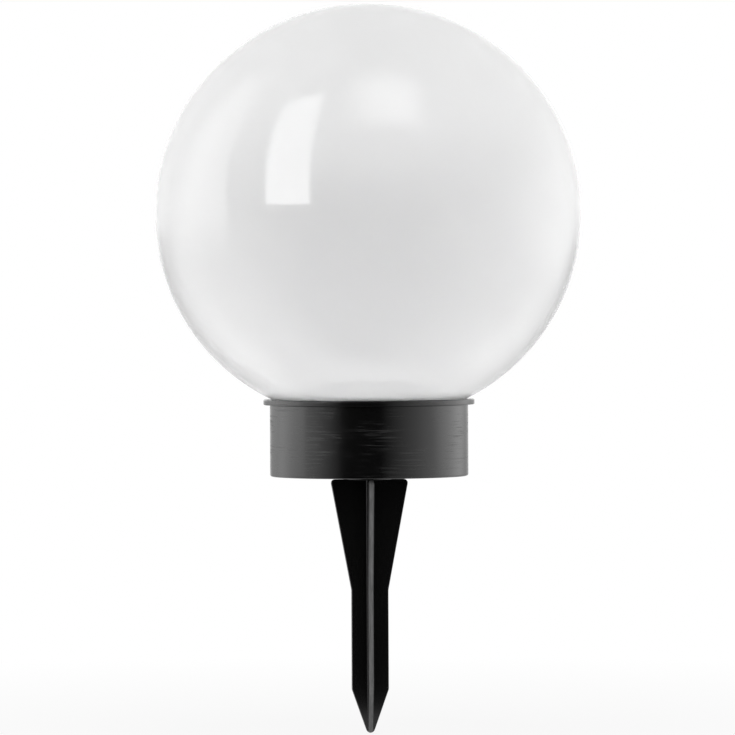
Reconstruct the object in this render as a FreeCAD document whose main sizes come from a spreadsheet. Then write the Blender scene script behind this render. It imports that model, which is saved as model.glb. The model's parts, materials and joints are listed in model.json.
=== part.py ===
import FreeCAD, Part

# Garden globe light on a ground stake, in millimetres, +Z up.
#
# The origin is on the lamp's upright axis at the soil line, which is the top edge of the stake's blades.
# The stake stands in the soil below it. Above it, a black round base plugs onto the stake's stub. The base
# holds a small solar module, and the neck of an opal globe drops into a rubber gasket in its mouth.
# -Y is the front. Every size is a cell of the sheet "dim", and each piece is bound to those cells.

import math
import os

import Sketcher
from FreeCAD import Placement, Rotation, Vector

SIZES = [
    # The globe is slightly flatter than a ball.
    ("globe_width", 200, "widest outer diameter of the globe"),
    ("globe_flattening", 3.4, "what a full, uncut globe lacks in height against its width"),
    ("shoulder_width", 3.7, "flat shoulder round the neck, which rests on the rim"),
    ("crown_angle", 45, "height angle at which the globe's crown begins, in degrees"),
    ("globe_wall", 2.2, "wall of the globe"),
    ("shoulder_wall", 2.4, "thickness of that shoulder"),
    ("neck_gap", 2.3, "neck to the inside of the base's mouth, all round"),
    ("neck_wall", 2.2, "wall of the neck"),
    ("neck_depth", 10, "neck below the shoulder"),
    ("neck_lead_in", 0.8, "chamfer at the neck's lower edge"),
    # Base housing.
    ("stake_gap", 1.5, "base's underside above the soil line"),
    ("base_width", 93, "outer diameter of the base"),
    ("base_height", 33.5, "base housing, underside to top edge"),
    ("base_wall", 2.2, "wall of the base at its mouth"),
    ("base_floor", 2.4, "floor of the base"),
    ("base_round", 1.0, "rounding of the base's lower outer edge"),
    ("ledge_step", 0.9, "ledge in the wall that carries the gasket"),
    ("neck_end_gap", 0.6, "ledge below the end of the neck"),
    # Rim ring and gasket.
    ("rim_overhang", 3, "rim beyond the base, all round"),
    ("rim_thickness", 2.6, "height of the rim's flange"),
    ("rim_gap", 0.6, "rim's bore to the neck, all round"),
    ("rim_lip_depth", 1.8, "locating lip of the rim inside the base"),
    ("rim_lip_gap", 0.1, "lip to the base's wall"),
    ("rim_round", 0.5, "rounding of the rim's outer edges"),
    ("gasket_grip_gap", 0.08, "gasket's ridges to the neck, all round"),
    ("gasket_seat_gap", 0.05, "gasket to the base's wall"),
    ("gasket_wall", 1.2, "wall of the gasket between its ridges"),
    ("gasket_ridge", 0.9, "half height of one gasket ridge"),
    # Stake.
    ("blade_width", 36.8, "width of the stake's blades at the soil line"),
    ("shank_width", 17.4, "width of the blades along the straight shank"),
    ("taper_length", 52, "height of the blades' tapering upper part"),
    ("shank_length", 46.6, "height of the straight shank"),
    ("point_length", 20.5, "height of the stake's point"),
    ("point_width", 2.9, "width of the blunt end of the point"),
    ("blade_thickness", 2.5, "thickness of the blades"),
    ("blade_corner", 1.2, "rounding of the blades' upper corners"),
    ("stub_width", 16, "diameter of the stub that plugs into the base"),
    ("stub_length", 22.5, "stub above the soil line"),
    ("collar_ledge", 3.75, "stake's collar beyond the socket's wall, for the base to rest on"),
    ("stub_wall", 2.0, "wall of the stub"),
    ("stub_bore_depth", 18, "depth of the hollow in the stub"),
    ("stub_chamfer", 0.8, "lead-in at the stub's top"),
    ("grip_rib_width", 1.2, "width of the stub's grip ribs"),
    ("grip_rib_gap", 0.1, "grip ribs to the socket's wall"),
    ("grip_rib_start", 3.5, "grip ribs' lower ends above the soil line"),
    ("grip_rib_end_gap", 3, "grip ribs' upper ends below the stub's top"),
    ("socket_gap", 0.25, "stub to the socket's wall"),
    ("socket_wall", 2.0, "wall of the base's socket"),
    ("socket_headroom", 1.5, "socket's roof above the stub"),
    ("socket_roof", 2.0, "thickness of the socket's roof"),
    # Module deck.
    ("deck_drop", 0.6, "deck's top below the rim's top"),
    ("deck_thickness", 2.4, "thickness of the deck"),
    ("deck_gap", 0.8, "deck to the inside of the neck"),
    ("deck_lip_wall", 1.4, "wall of the deck's raised edge"),
    ("deck_lip_rise", 1.2, "height of the deck's raised edge"),
    ("deck_screw_inset", 4.7, "deck screws' centres inside the deck's edge"),
    ("rear_screw_angle", 20, "the rear deck screws' direction behind the centre line, in degrees"),
    ("front_screw_angle", 55, "the front deck screws' direction before the centre line, in degrees"),
    ("boss_width", 6.4, "diameter of the bosses under the deck"),
    ("boss_rib", 1.4, "thickness of the ribs that tie the bosses to the wall"),
    ("rib_drop", 1.0, "top of those ribs below the gasket's ledge"),
    ("deck_pilot", 2.5, "diameter of the bosses' pilot holes"),
    ("deck_pilot_depth", 13, "depth of the bosses' pilot holes"),
    ("deck_screw_hole", 3.2, "diameter of the deck's screw holes"),
    # Screws: each kind has a head width and height, a shank and a length.
    ("deck_screw_head", 5.4, "head diameter of the deck screws"),
    ("deck_screw_rise", 1.7, "head height of the deck screws"),
    ("deck_screw_shank", 2.4, "shank diameter of the deck screws"),
    ("deck_screw_length", 11, "shank length of the deck screws"),
    ("board_screw_head", 3.8, "head diameter of the board screws"),
    ("board_screw_rise", 1.3, "head height of the board screws"),
    ("board_screw_shank", 1.8, "shank diameter of the board screws"),
    ("board_screw_length", 4.8, "shank length of the board screws"),
    ("door_screw_head", 4.4, "head diameter of the door screws"),
    ("door_screw_rise", 1.1, "head height of the door screws"),
    ("door_screw_shank", 2.2, "shank diameter of the door screws"),
    ("door_screw_length", 7.5, "shank length of the door screws"),
    ("switch_screw_head", 3.0, "head diameter of the switch screws"),
    ("switch_screw_rise", 0.7, "head height of the switch screws"),
    ("switch_screw_shank", 1.6, "shank diameter of the switch screws"),
    ("switch_screw_length", 3.4, "shank length of the switch screws"),
    ("cross_width", 0.7, "width of the cross recess in a screw's head"),
    ("cross_depth", 0.6, "part of a head's height that the cross recess takes"),
    ("cross_reach", 0.62, "part of a head's width that the cross recess takes"),
    ("pilot_gap", 0.05, "screw's shank to its pilot hole, all round"),
    # Solar panel on the deck.
    ("panel_side", 46, "side of the square solar panel"),
    ("panel_gap", 0.3, "panel to its frame, all round"),
    ("frame_wall", 1.3, "wall of the raised frame round the panel"),
    ("frame_rise", 1.9, "panel frame above the deck's top"),
    ("recess_depth", 0.8, "panel recess below the deck's top"),
    ("tape_thickness", 0.5, "foam tape under the panel"),
    ("tape_width", 4, "width of the foam tape"),
    ("panel_board_thickness", 1.2, "panel's backing board"),
    ("cell_count", 4, "solar cells in series"),
    ("cell_gap", 0.7, "gap between solar cells"),
    ("cell_margin", 1.8, "panel's edge to the cells"),
    ("cell_thickness", 0.3, "thickness of a solar cell"),
    ("ribbon_width", 1.1, "width of the ribbons on the cells"),
    ("ribbon_thickness", 0.12, "thickness of the ribbons on the cells"),
    ("resin_thickness", 0.9, "clear resin over the cells"),
    ("resin_margin", 0.3, "panel's edge to the resin"),
    ("resin_round", 0.5, "rounding of the resin's upper edges"),
    # Lamps (light-emitting diodes) round the panel.
    ("lamp_count", 4, "number of lamps"),
    ("lamp_space", 0.2, "a lamp's collar to the panel's frame"),
    ("lamp_width", 5, "diameter of a lamp"),
    ("lamp_height", 8.6, "height of a lamp above its leads"),
    ("lamp_flange", 5.8, "diameter of a lamp's flange"),
    ("lamp_flange_height", 1.0, "height of a lamp's flange"),
    ("lamp_gap", 0.15, "lamp to its hole in the deck"),
    ("lamp_collar_wall", 1.0, "wall of the raised collar round a lamp"),
    ("lamp_collar_rise", 0.8, "height of that collar"),
    ("lead_pin", 0.5, "side of a lamp's square lead"),
    ("lead_pitch", 2.54, "distance between a lamp's two leads"),
    ("lead_stick_out", 1.4, "lamp's lead below the circuit board"),
    # Circuit board under the deck.
    ("board_gap", 1.1, "circuit board's edge to the deck screws' bosses"),
    ("board_drop", 4.0, "circuit board's top below the deck"),
    ("board_thickness", 1.6, "thickness of the circuit board"),
    ("standoff_width", 5, "diameter of the deck's standoffs for the board"),
    ("standoff_circle", 23, "radius of the circle that the standoffs stand on"),
    ("standoff_turn", 45, "direction of the first standoff, in degrees"),
    ("standoff_pilot_depth", 5.2, "depth of the standoffs' pilot holes"),
    ("pin_hole_gap", 0.15, "lamp's lead to its hole in the board"),
    ("wire_hole", 8, "diameter of the deck's hole for the panel's leads"),
    ("chip_length", 5, "length of the driver chip"),
    ("chip_width", 3.9, "width of the driver chip"),
    ("chip_height", 1.6, "height of the driver chip"),
    ("coil_width", 7, "diameter of the power coil"),
    ("coil_height", 5.5, "height of the power coil"),
    ("coil_waist", 1.2, "depth of the winding's groove in the power coil"),
    ("coil_flange", 0.9, "thickness of the power coil's end discs"),
    ("capacitor_width", 5, "diameter of the capacitor"),
    ("capacitor_height", 7, "height of the capacitor"),
    ("resistor_width", 2.2, "diameter of a resistor"),
    ("resistor_length", 6, "length of a resistor"),
    ("resistor_wire", 0.5, "wire of a resistor"),
    ("resistor_span", 9, "distance between a resistor's two legs"),
    ("resistor_drop", 1.6, "resistor's centre line below the board"),
    # Battery bay, on the rear side of the base's floor.
    ("cell_width", 10.5, "diameter of the battery cell"),
    ("cell_length", 44.5, "length of the battery cell with its button"),
    ("sleeve_wall", 0.15, "plastic sleeve of the battery cell"),
    ("button_width", 3.8, "diameter of the cell's button"),
    ("button_height", 0.9, "height of the cell's button"),
    ("bay_back", 26.5, "battery cell's centre line behind the lamp's axis"),
    ("bay_side_gap", 0.45, "battery cell to the bay's long walls"),
    ("bay_roof_gap", 0.6, "battery cell to the bay's roof"),
    ("bay_end_gap", 0.1, "play of the cell along the bay"),
    ("bay_wall", 1.4, "walls of the bay"),
    ("cell_floor_gap", 1.0, "battery cell above the closed door"),
    ("spring_length", 5.4, "height of the contact spring"),
    ("spring_width", 6.4, "outer diameter of the spring's wide end"),
    ("spring_tip_width", 4.2, "outer diameter of the spring's narrow end"),
    ("spring_wire", 0.7, "wire of the contact spring"),
    ("spring_turns", 4, "turns of the contact spring"),
    ("contact_thickness", 0.4, "thickness of the contact plates"),
    ("contact_width", 8, "width of the contact plates"),
    ("contact_height", 8, "height of the contact plates"),
    ("tab_width", 2.4, "width of the contacts' solder tabs"),
    ("tab_rise", 2.6, "solder tabs above the bay's roof"),
    ("tab_gap", 0.1, "solder tab to its slot"),
    # Battery door.
    ("door_thickness", 1.8, "thickness of the battery door"),
    ("door_ledge", 1.2, "ledge that the door covers round the bay"),
    ("door_gap", 0.25, "door to its recess, all round"),
    ("door_corner", 1.6, "rounding of the door's corners"),
    ("ear_spread", 14, "the door's screw ears from the centre plane"),
    ("ear_reach", 4.6, "the screw ears' centres before the bay"),
    ("ear_width", 8, "diameter of the door's screw ears"),
    ("ear_boss_width", 6.8, "diameter of the bosses over the ears"),
    ("ear_boss_height", 9, "height of those bosses above the floor"),
    ("door_screw_hole", 2.6, "diameter of the door's screw holes"),
    ("seal_groove", 0.7, "depth of the door seal's groove"),
    ("seal_width", 0.8, "width of the door seal"),
    ("seal_rise", 0.3, "play over the door seal in its groove"),
    ("finger_notch_length", 12, "length of the notch that lifts the door"),
    # Slide switch, on the front side of the base's floor.
    ("switch_front", 25, "switch's centre before the lamp's axis"),
    ("switch_length", 12, "length of the switch's can"),
    ("switch_width", 6, "width of the switch's can"),
    ("switch_height", 5.2, "height of the switch's can"),
    ("switch_wall", 0.6, "wall of the switch's can"),
    ("plate_length", 19.6, "length of the switch's mounting plate"),
    ("plate_thickness", 0.5, "thickness of the switch's mounting plate"),
    ("plate_hole_pitch", 15, "distance between the mounting plate's holes"),
    ("knob_length", 4, "length of the switch's knob"),
    ("knob_width", 3.4, "width of the switch's knob"),
    ("knob_travel", 3, "travel of the switch's knob"),
    ("knob_gap", 0.3, "knob to its slot"),
    ("knob_sink", 0.4, "knob's end above the base's underside"),
    ("knob_foot", 1.0, "thickness of the knob's foot inside the can"),
    ("knob_foot_length", 6, "length of the knob's foot"),
    ("knob_foot_width", 4.4, "width of the knob's foot, which its slot holds in"),
    ("knob_foot_gap", 0.3, "knob's foot above the mounting plate"),
    ("grip_count", 3, "grip grooves on the knob"),
    ("grip_width", 0.5, "width of a grip groove"),
    ("grip_depth", 0.4, "depth of a grip groove"),
    ("switch_recess_length", 22, "length of the recess round the knob"),
    ("switch_recess_width", 9, "width of the recess round the knob"),
    ("switch_recess_depth", 1.1, "depth of the recess round the knob"),
    ("terminal_count", 3, "solder terminals of the switch"),
    ("terminal_pitch", 3.2, "distance between the terminals"),
    ("terminal_width", 1.4, "width of a terminal"),
    ("terminal_thickness", 0.4, "thickness of a terminal"),
    ("terminal_height", 3, "height of a terminal"),
    # Internal leads.
    ("lead_width", 1.3, "diameter of the insulated leads"),
    ("panel_lead_spread", 1.6, "panel's leads from the centre plane, at the panel"),
    ("panel_lead_landing", 3.6, "panel's leads from the centre plane, at the board"),
    ("battery_lead_landing", 18, "battery's leads from the centre plane, at the board"),
    ("battery_lead_back", 20, "battery's leads behind the axis, at the board"),
    ("switch_lead_landing", 6, "switch's leads from the centre plane, at the board"),
    ("switch_lead_front", 19, "switch's leads before the axis, at the board"),
]

doc = FreeCAD.newDocument("garden_globe_light")
sheet = doc.addObject("Spreadsheet::Sheet", "dim")
for row, (alias, number, note) in enumerate(SIZES, 1):
    sheet.set(f"A{row}", note)
    sheet.set(f"B{row}", str(number))
    sheet.setAlias(f"B{row}", alias)
doc.recompute()


def size(alias):
    """The number in a cell, for counts and for curves that no expression can draw."""
    return float(sheet.get(alias))


def sheet_value(expression):
    """What an expression comes to with the present sizes."""
    return float(sheet.evalExpression(expression))


def half(alias):
    return f"dim.{alias} / 2"


# Heights above the soil line, from the bottom up.
UNDER = "dim.stake_gap"
FLOOR = f"({UNDER} + dim.base_floor)"
SEAT = f"({UNDER} + dim.base_height)"
RIM = f"({SEAT} + dim.rim_thickness)"
NECK_END = f"({RIM} - dim.neck_depth)"
LEDGE = f"({NECK_END} - dim.neck_end_gap)"
LIP_END = f"({SEAT} - dim.rim_lip_depth)"
SOCKET_TOP = "(dim.stub_length + dim.socket_headroom)"
DECK = f"({RIM} - dim.deck_drop)"
DECK_UNDER = f"({DECK} - dim.deck_thickness)"
BOARD = f"({DECK_UNDER} - dim.board_drop)"
BOARD_UNDER = f"({BOARD} - dim.board_thickness)"
RECESS = f"({DECK} - dim.recess_depth)"
PANEL = f"({RECESS} + dim.tape_thickness)"
CELLS = f"({PANEL} + dim.panel_board_thickness)"
RIBBONS = f"({CELLS} + dim.cell_thickness)"
RESIN = f"({RIBBONS} + dim.ribbon_thickness)"
DOOR_TOP = f"({UNDER} + dim.door_thickness)"
CELL_UNDER = f"({DOOR_TOP} + dim.cell_floor_gap)"
CELL_CENTRE = f"({CELL_UNDER} + dim.cell_width / 2)"
BAY_ROOF = f"({CELL_UNDER} + dim.cell_width + dim.bay_roof_gap)"
BAY_TOP = f"({BAY_ROOF} + dim.bay_wall)"
SWITCH_PLATE = FLOOR
SWITCH_CAN = f"({SWITCH_PLATE} + dim.plate_thickness)"
SWITCH_TOP = f"({SWITCH_CAN} + dim.switch_height)"
SWITCH_RECESS = f"({UNDER} + dim.switch_recess_depth)"

# Distances from the lamp's axis.
BASE_R = f"({half('base_width')})"
WALL_R = f"({BASE_R} - dim.base_wall)"
LEDGE_R = f"({WALL_R} - dim.ledge_step)"
RIM_R = f"({BASE_R} + dim.rim_overhang)"
NECK_R = f"({WALL_R} - dim.neck_gap)"
NECK_IN_R = f"({NECK_R} - dim.neck_wall)"
RIM_BORE_R = f"({NECK_R} + dim.rim_gap)"
SOCKET_R = f"({half('stub_width')} + dim.socket_gap)"
SOCKET_OUT_R = f"({SOCKET_R} + dim.socket_wall)"
DECK_R = f"({NECK_IN_R} - dim.deck_gap)"
SCREW_R = f"({DECK_R} - dim.deck_screw_inset)"
BOARD_R = f"({SCREW_R} - dim.boss_width / 2 - dim.board_gap)"
LAMP_HOLE_R = "(dim.lamp_width / 2 + dim.lamp_gap)"
LAMP_CIRCLE = (
    "(dim.panel_side / 2 + dim.panel_gap + dim.frame_wall + dim.lamp_space"
    f" + {LAMP_HOLE_R} + dim.lamp_collar_wall)"
)

# The battery bay's inside and outside, and the door's recess, as half length, front and back.
BAY_HALF = "((dim.cell_length + dim.spring_length + 2 * dim.contact_thickness + dim.bay_end_gap) / 2)"
BAY_DEEP = "(dim.cell_width / 2 + dim.bay_side_gap)"
BAY_FRONT = f"(dim.bay_back - {BAY_DEEP})"
BAY_REAR = f"(dim.bay_back + {BAY_DEEP})"

DECK_SCREWS = [
    (f"{side}{SCREW_R} * cos(dim.{row}_screw_angle)", f"{ahead}{SCREW_R} * sin(dim.{row}_screw_angle)")
    for row, ahead in (("rear", ""), ("front", "-"))
    for side in ("", "-")
]
DOOR_SCREWS = [(f"{side}dim.ear_spread", f"({BAY_FRONT} - dim.ear_reach)") for side in ("", "-")]
SWITCH_SCREWS = [
    ("dim.plate_hole_pitch / 2", "-dim.switch_front"),
    ("-dim.plate_hole_pitch / 2", "-dim.switch_front"),
]
BOARD_SCREWS = [
    (
        f"dim.standoff_circle * cos(dim.standoff_turn + {turn})",
        f"dim.standoff_circle * sin(dim.standoff_turn + {turn})",
    )
    for turn in (0, 120, 240)
]
LAMPS = [
    (
        f"{LAMP_CIRCLE} * cos({k} * 360 / dim.lamp_count)",
        f"{LAMP_CIRCLE} * sin({k} * 360 / dim.lamp_count)",
    )
    for k in range(int(size("lamp_count")))
]


# Sketches: an outline is a circle, a rectangle or a row of corners, each placed by expressions.


def bind(item, **expressions):
    for name, expression in expressions.items():
        item.setExpression(name.replace("__", "."), expression)
    return item


def pin_point(sketch, line, end, x, y):
    """Ties a sketch point to the origin by two named distances."""
    for kind, expression in (("DistanceX", x), ("DistanceY", y)):
        value = sheet_value(expression)
        index = sketch.addConstraint(Sketcher.Constraint(kind, -1, 1, line, end, value))
        sketch.setExpression(f"Constraints[{index}]", expression)


def add_corners(sketch, corners):
    """A closed outline of straight lines."""
    count = len(corners)
    spots = [Vector(sheet_value(x), sheet_value(y), 0) for x, y in corners]
    first = sketch.GeometryCount
    for k in range(count):
        sketch.addGeometry(Part.LineSegment(spots[k], spots[(k + 1) % count]), False)
    for k in range(count):
        follower = first + (k + 1) % count
        sketch.addConstraint(Sketcher.Constraint("Coincident", first + k, 2, follower, 1))
        pin_point(sketch, first + k, 1, *corners[k])


def add_circle(sketch, x, y, radius):
    centre = Vector(sheet_value(x), sheet_value(y), 0)
    drawn = Part.Circle(centre, Vector(0, 0, 1), sheet_value(radius))
    circle = sketch.addGeometry(drawn, False)
    pin_point(sketch, circle, 3, x, y)
    index = sketch.addConstraint(Sketcher.Constraint("Radius", circle, sheet_value(radius)))
    sketch.setExpression(f"Constraints[{index}]", radius)


def rectangle(left, front, right, back):
    return [(left, front), (right, front), (right, back), (left, back)]


def centred(x, y, length, width):
    """A rectangle about a centre."""
    return rectangle(
        f"{x} - ({length}) / 2",
        f"{y} - ({width}) / 2",
        f"{x} + ({length}) / 2",
        f"{y} + ({width}) / 2",
    )


def settle(feature):
    """Recomputes the document and stops at a feature that failed."""
    doc.recompute()
    if "Invalid" in feature.State or "Error" in feature.State:
        raise RuntimeError(f"{feature.Name} failed")
    return feature


def new_body(label):
    body = doc.addObject("PartDesign::Body", label)
    body.Label = label
    body.AllowCompound = True
    return body


def new_sketch(body, role, offset="0"):
    plane = next(f for f in body.Origin.OriginFeatures if f.Role == role)
    sketch = body.newObject("Sketcher::SketchObject", f"{body.Name}_sketch")
    sketch.AttachmentSupport = (plane, [""])
    sketch.MapMode = "FlatFace"
    sketch.setExpression("AttachmentOffset.Base.z", offset)
    return sketch


def add_outlines(sketch, outlines):
    for outline in outlines:
        if len(outline) == 3 and isinstance(outline[0], str):
            add_circle(sketch, *outline)
        else:
            add_corners(sketch, outline)


def turned(body, corners):
    """Turns a half profile, given as (radius, height) corners, about the upright axis."""
    sketch = new_sketch(body, "XZ_Plane")
    add_corners(sketch, corners)
    spin = body.newObject("PartDesign::Revolution", f"{body.Name}_turned")
    spin.Profile = sketch
    spin.ReferenceAxis = (sketch, ["V_Axis"])
    spin.Angle = 360
    return settle(spin)


def raised(body, outlines, bottom, top):
    """Adds material inside the outlines between two heights."""
    sketch = new_sketch(body, "XY_Plane", bottom)
    add_outlines(sketch, outlines)
    pad = body.newObject("PartDesign::Pad", f"{body.Name}_raised")
    pad.Profile = sketch
    pad.setExpression("Length", f"{top} - {bottom}")
    return settle(pad)


def pocketed(body, outlines, bottom, top):
    """Takes material away inside the outlines between two heights."""
    before = body.Shape.Volume
    sketch = new_sketch(body, "XY_Plane", bottom)
    add_outlines(sketch, outlines)
    pocket = body.newObject("PartDesign::Pocket", f"{body.Name}_pocket")
    pocket.Profile = sketch
    pocket.Reversed = True
    pocket.setExpression("Length", f"{top} - {bottom}")
    settle(pocket)
    if body.Shape.Volume >= before - 1e-6:
        raise RuntimeError(f"{pocket.Name} of {body.Label} cuts nothing")
    return pocket


def edges_where(shape, wanted):
    return [f"Edge{k}" for k, edge in enumerate(shape.Edges, 1) if wanted(edge)]


def rounded(body, radius, wanted, kind="Fillet"):
    """Rounds the edges of the body's last feature that wanted(edge) picks."""
    before = body.Tip
    names = edges_where(before.Shape, wanted)
    if not names:
        raise RuntimeError(f"{body.Label} has no edge to round")
    feature = body.newObject(f"PartDesign::{kind}", f"{body.Name}_{kind.lower()}")
    feature.Base = (before, names)
    feature.setExpression("Radius" if kind == "Fillet" else "Size", radius)
    return settle(feature)


def is_circle(edge):
    return isinstance(edge.Curve, Part.Circle)


def is_upright(edge):
    box = edge.BoundBox
    return box.XLength < 1e-6 and box.YLength < 1e-6


# Plain solids, for small pieces that are turned, sawn or stacked.


def place(item, x="0", y="0", z="0"):
    return bind(item, Placement__Base__x=x, Placement__Base__y=y, Placement__Base__z=z)


def cylinder(name, radius, height, x="0", y="0", z="0"):
    item = doc.addObject("Part::Cylinder", name)
    return place(bind(item, Radius=radius, Height=height), x, y, z)


def lying_cylinder(name, radius, length, x, y, z):
    """A cylinder along +X from its left end."""
    item = doc.addObject("Part::Cylinder", name)
    item.Placement = Placement(Vector(0, 0, 0), Rotation(Vector(0, 1, 0), 90))
    return place(bind(item, Radius=radius, Height=length), x, y, z)


def block(name, length, width, height, x, y, z):
    """A box centred on x and y that stands on z."""
    item = doc.addObject("Part::Box", name)
    bind(item, Length=length, Width=width, Height=height)
    return place(item, f"{x} - ({length}) / 2", f"{y} - ({width}) / 2", z)


def joined(name, parts):
    item = doc.addObject("Part::MultiFuse", name)
    item.Shapes = parts
    return item


def without(name, base, tools):
    item = doc.addObject("Part::Cut", name)
    item.Base = base
    item.Tool = tools[0] if len(tools) == 1 else joined(f"{name}_tools", tools)
    return item


def group(label, parts):
    item = doc.addObject("Part::Compound", label)
    item.Links = parts
    item.Label = label
    return item


def screw(name, kind, x, y, seat, up):
    """A pan-head screw whose head stands on the seat. It points up where its head is below its seat."""
    sign, head, rise = ("-1", f"dim.{kind}_head", f"dim.{kind}_rise")
    length = f"dim.{kind}_length"
    low_head = f"{seat} - {rise}" if up else seat
    low_shank = seat if up else f"{seat} - {length}"
    top = cylinder(f"{name}_head", f"{head} / 2", rise, x, y, low_head)
    shank = cylinder(f"{name}_shank", f"dim.{kind}_shank / 2", length, x, y, low_shank)
    reach, deep = f"{head} * dim.cross_reach", f"{rise} * dim.cross_depth"
    low_cross = low_head if up else f"{seat} + {rise} - {deep}"
    bars = [
        block(f"{name}_bar_x", reach, "dim.cross_width", deep, x, y, low_cross),
        block(f"{name}_bar_y", "dim.cross_width", reach, deep, x, y, low_cross),
    ]
    return without(name, joined(f"{name}_blank", [top, shank]), bars)


def screws(label, kind, spots, seat, up=False):
    name = label.rstrip("s")
    parts = [screw(f"{name}_{k}", kind, x, y, seat, up) for k, (x, y) in enumerate(spots, 1)]
    return group(label, parts)


# The pieces, from the ground up.


def make_ground_stake():
    """Four blades in a cross that taper, run straight and end in a point, then a collar and a hollow stub."""
    body = new_body("ground_stake")
    blade_r, shank_r, tip_r = half("blade_width"), half("shank_width"), half("point_width")
    kink = "-dim.taper_length"
    heel = f"({kink} - dim.shank_length)"
    tip = f"({heel} - dim.point_length)"
    outline = [(blade_r, "0"), (shank_r, kink), (shank_r, heel), (tip_r, tip)]
    outline += [(f"-({r})", z) for r, z in reversed(outline)]
    for role in ("XZ_Plane", "YZ_Plane"):
        sketch = new_sketch(body, role)
        add_corners(sketch, outline)
        blades = body.newObject("PartDesign::Pad", "blades")
        blades.Profile = sketch
        blades.SideType = "Symmetric"
        blades.setExpression("Length", "dim.blade_thickness")
        settle(blades)
    reach = size("blade_width") / 2
    rounded(
        body,
        "dim.blade_corner",
        lambda e: (
            abs(e.CenterOfMass.z) < 1e-6
            and max(abs(e.CenterOfMass.x), abs(e.CenterOfMass.y)) > reach - 1e-6
        ),
    )
    raised(body, [("0", "0", f"{SOCKET_R} + dim.collar_ledge")], "0", UNDER)
    raised(body, [("0", "0", half("stub_width"))], UNDER, "dim.stub_length")
    top = size("stub_length")
    rounded(
        body,
        "dim.stub_chamfer",
        lambda e: is_circle(e) and abs(e.CenterOfMass.z - top) < 1e-6,
        "Chamfer",
    )
    bore = f"{half('stub_width')} - dim.stub_wall"
    pocketed(body, [("0", "0", bore)], "(dim.stub_length - dim.stub_bore_depth)", "dim.stub_length")
    low, high = "dim.grip_rib_start", "(dim.stub_length - dim.grip_rib_end_gap)"
    middle = f"({half('stub_width')} - dim.stub_wall / 2)"
    outside = f"({SOCKET_R} - dim.grip_rib_gap)"
    for sign in ("", "-"):
        x0, x1 = f"{sign}{middle}", f"{sign}{outside}"
        rib = half("grip_rib_width")
        raised(body, [[(x0, f"-{rib}"), (x1, f"-{rib}"), (x1, rib), (x0, rib)]], low, high)
        raised(body, [[(f"-{rib}", x0), (rib, x0), (rib, x1), (f"-{rib}", x1)]], low, high)
    return body


def make_base_housing():
    """The black cup: floor, wall, gasket ledge, stake socket, screw bosses, battery bay and switch recess."""
    body = new_body("base_housing")
    turned(
        body,
        [
            (SOCKET_R, UNDER),
            (BASE_R, UNDER),
            (BASE_R, SEAT),
            (WALL_R, SEAT),
            (WALL_R, LEDGE),
            (LEDGE_R, LEDGE),
            (LEDGE_R, FLOOR),
            (SOCKET_OUT_R, FLOOR),
            (SOCKET_OUT_R, f"{SOCKET_TOP} + dim.socket_roof"),
            ("0", f"{SOCKET_TOP} + dim.socket_roof"),
            ("0", SOCKET_TOP),
            (SOCKET_R, SOCKET_TOP),
        ],
    )
    widest = size("base_width") / 2
    low = size("stake_gap")
    rounded(
        body,
        "dim.base_round",
        lambda e: (
            is_circle(e) and abs(e.Curve.Radius - widest) < 1e-6 and abs(e.CenterOfMass.z - low) < 1e-6
        ),
    )
    raised(body, [(x, y, half("boss_width")) for x, y in DECK_SCREWS], FLOOR, DECK_UNDER)
    for x, y in DECK_SCREWS:
        add_boss_rib(body, x, y)
    pocketed(
        body,
        [(x, y, half("deck_pilot")) for x, y in DECK_SCREWS],
        f"({DECK_UNDER} - dim.deck_pilot_depth)",
        DECK_UNDER,
    )
    outside = rectangle(
        f"-({BAY_HALF} + dim.bay_wall)",
        f"{BAY_FRONT} - dim.bay_wall",
        f"{BAY_HALF} + dim.bay_wall",
        f"{BAY_REAR} + dim.bay_wall",
    )
    raised(body, [outside], FLOOR, BAY_TOP)
    raised(
        body,
        [(x, y, half("ear_boss_width")) for x, y in DOOR_SCREWS],
        FLOOR,
        f"({FLOOR} + dim.ear_boss_height)",
    )
    inside = rectangle(f"-{BAY_HALF}", BAY_FRONT, BAY_HALF, BAY_REAR)
    pocketed(body, [inside], UNDER, BAY_ROOF)
    pocketed(body, [door_outline("dim.door_gap")], UNDER, DOOR_TOP)
    pocketed(
        body,
        [(x, y, f"{half('ear_width')} + dim.door_gap") for x, y in DOOR_SCREWS],
        UNDER,
        DOOR_TOP,
    )
    pocketed(body, ear_straps("dim.door_gap"), UNDER, DOOR_TOP)
    pilot = f"{half('door_screw_shank')} + dim.pilot_gap"
    pocketed(
        body,
        [(x, y, pilot) for x, y in DOOR_SCREWS],
        DOOR_TOP,
        f"({DOOR_TOP} + dim.door_screw_length)",
    )
    for side in ("-", ""):
        x = f"{side}({BAY_HALF} - dim.contact_thickness / 2)"
        slot = centred(
            x,
            "dim.bay_back",
            "dim.contact_thickness + 2 * dim.tab_gap",
            "dim.tab_width + 2 * dim.tab_gap",
        )
        pocketed(body, [slot], BAY_ROOF, BAY_TOP)
    recess = centred("0", "-dim.switch_front", "dim.switch_recess_length", "dim.switch_recess_width")
    pocketed(body, [recess], UNDER, SWITCH_RECESS)
    slot = centred(
        "0",
        "-dim.switch_front",
        "dim.knob_length + dim.knob_travel + 2 * dim.knob_gap",
        "dim.knob_width + 2 * dim.knob_gap",
    )
    pocketed(body, [slot], SWITCH_RECESS, FLOOR)
    pilot = f"{half('switch_screw_shank')} + dim.pilot_gap"
    pocketed(body, [(x, y, pilot) for x, y in SWITCH_SCREWS], SWITCH_RECESS, FLOOR)
    return body


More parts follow.
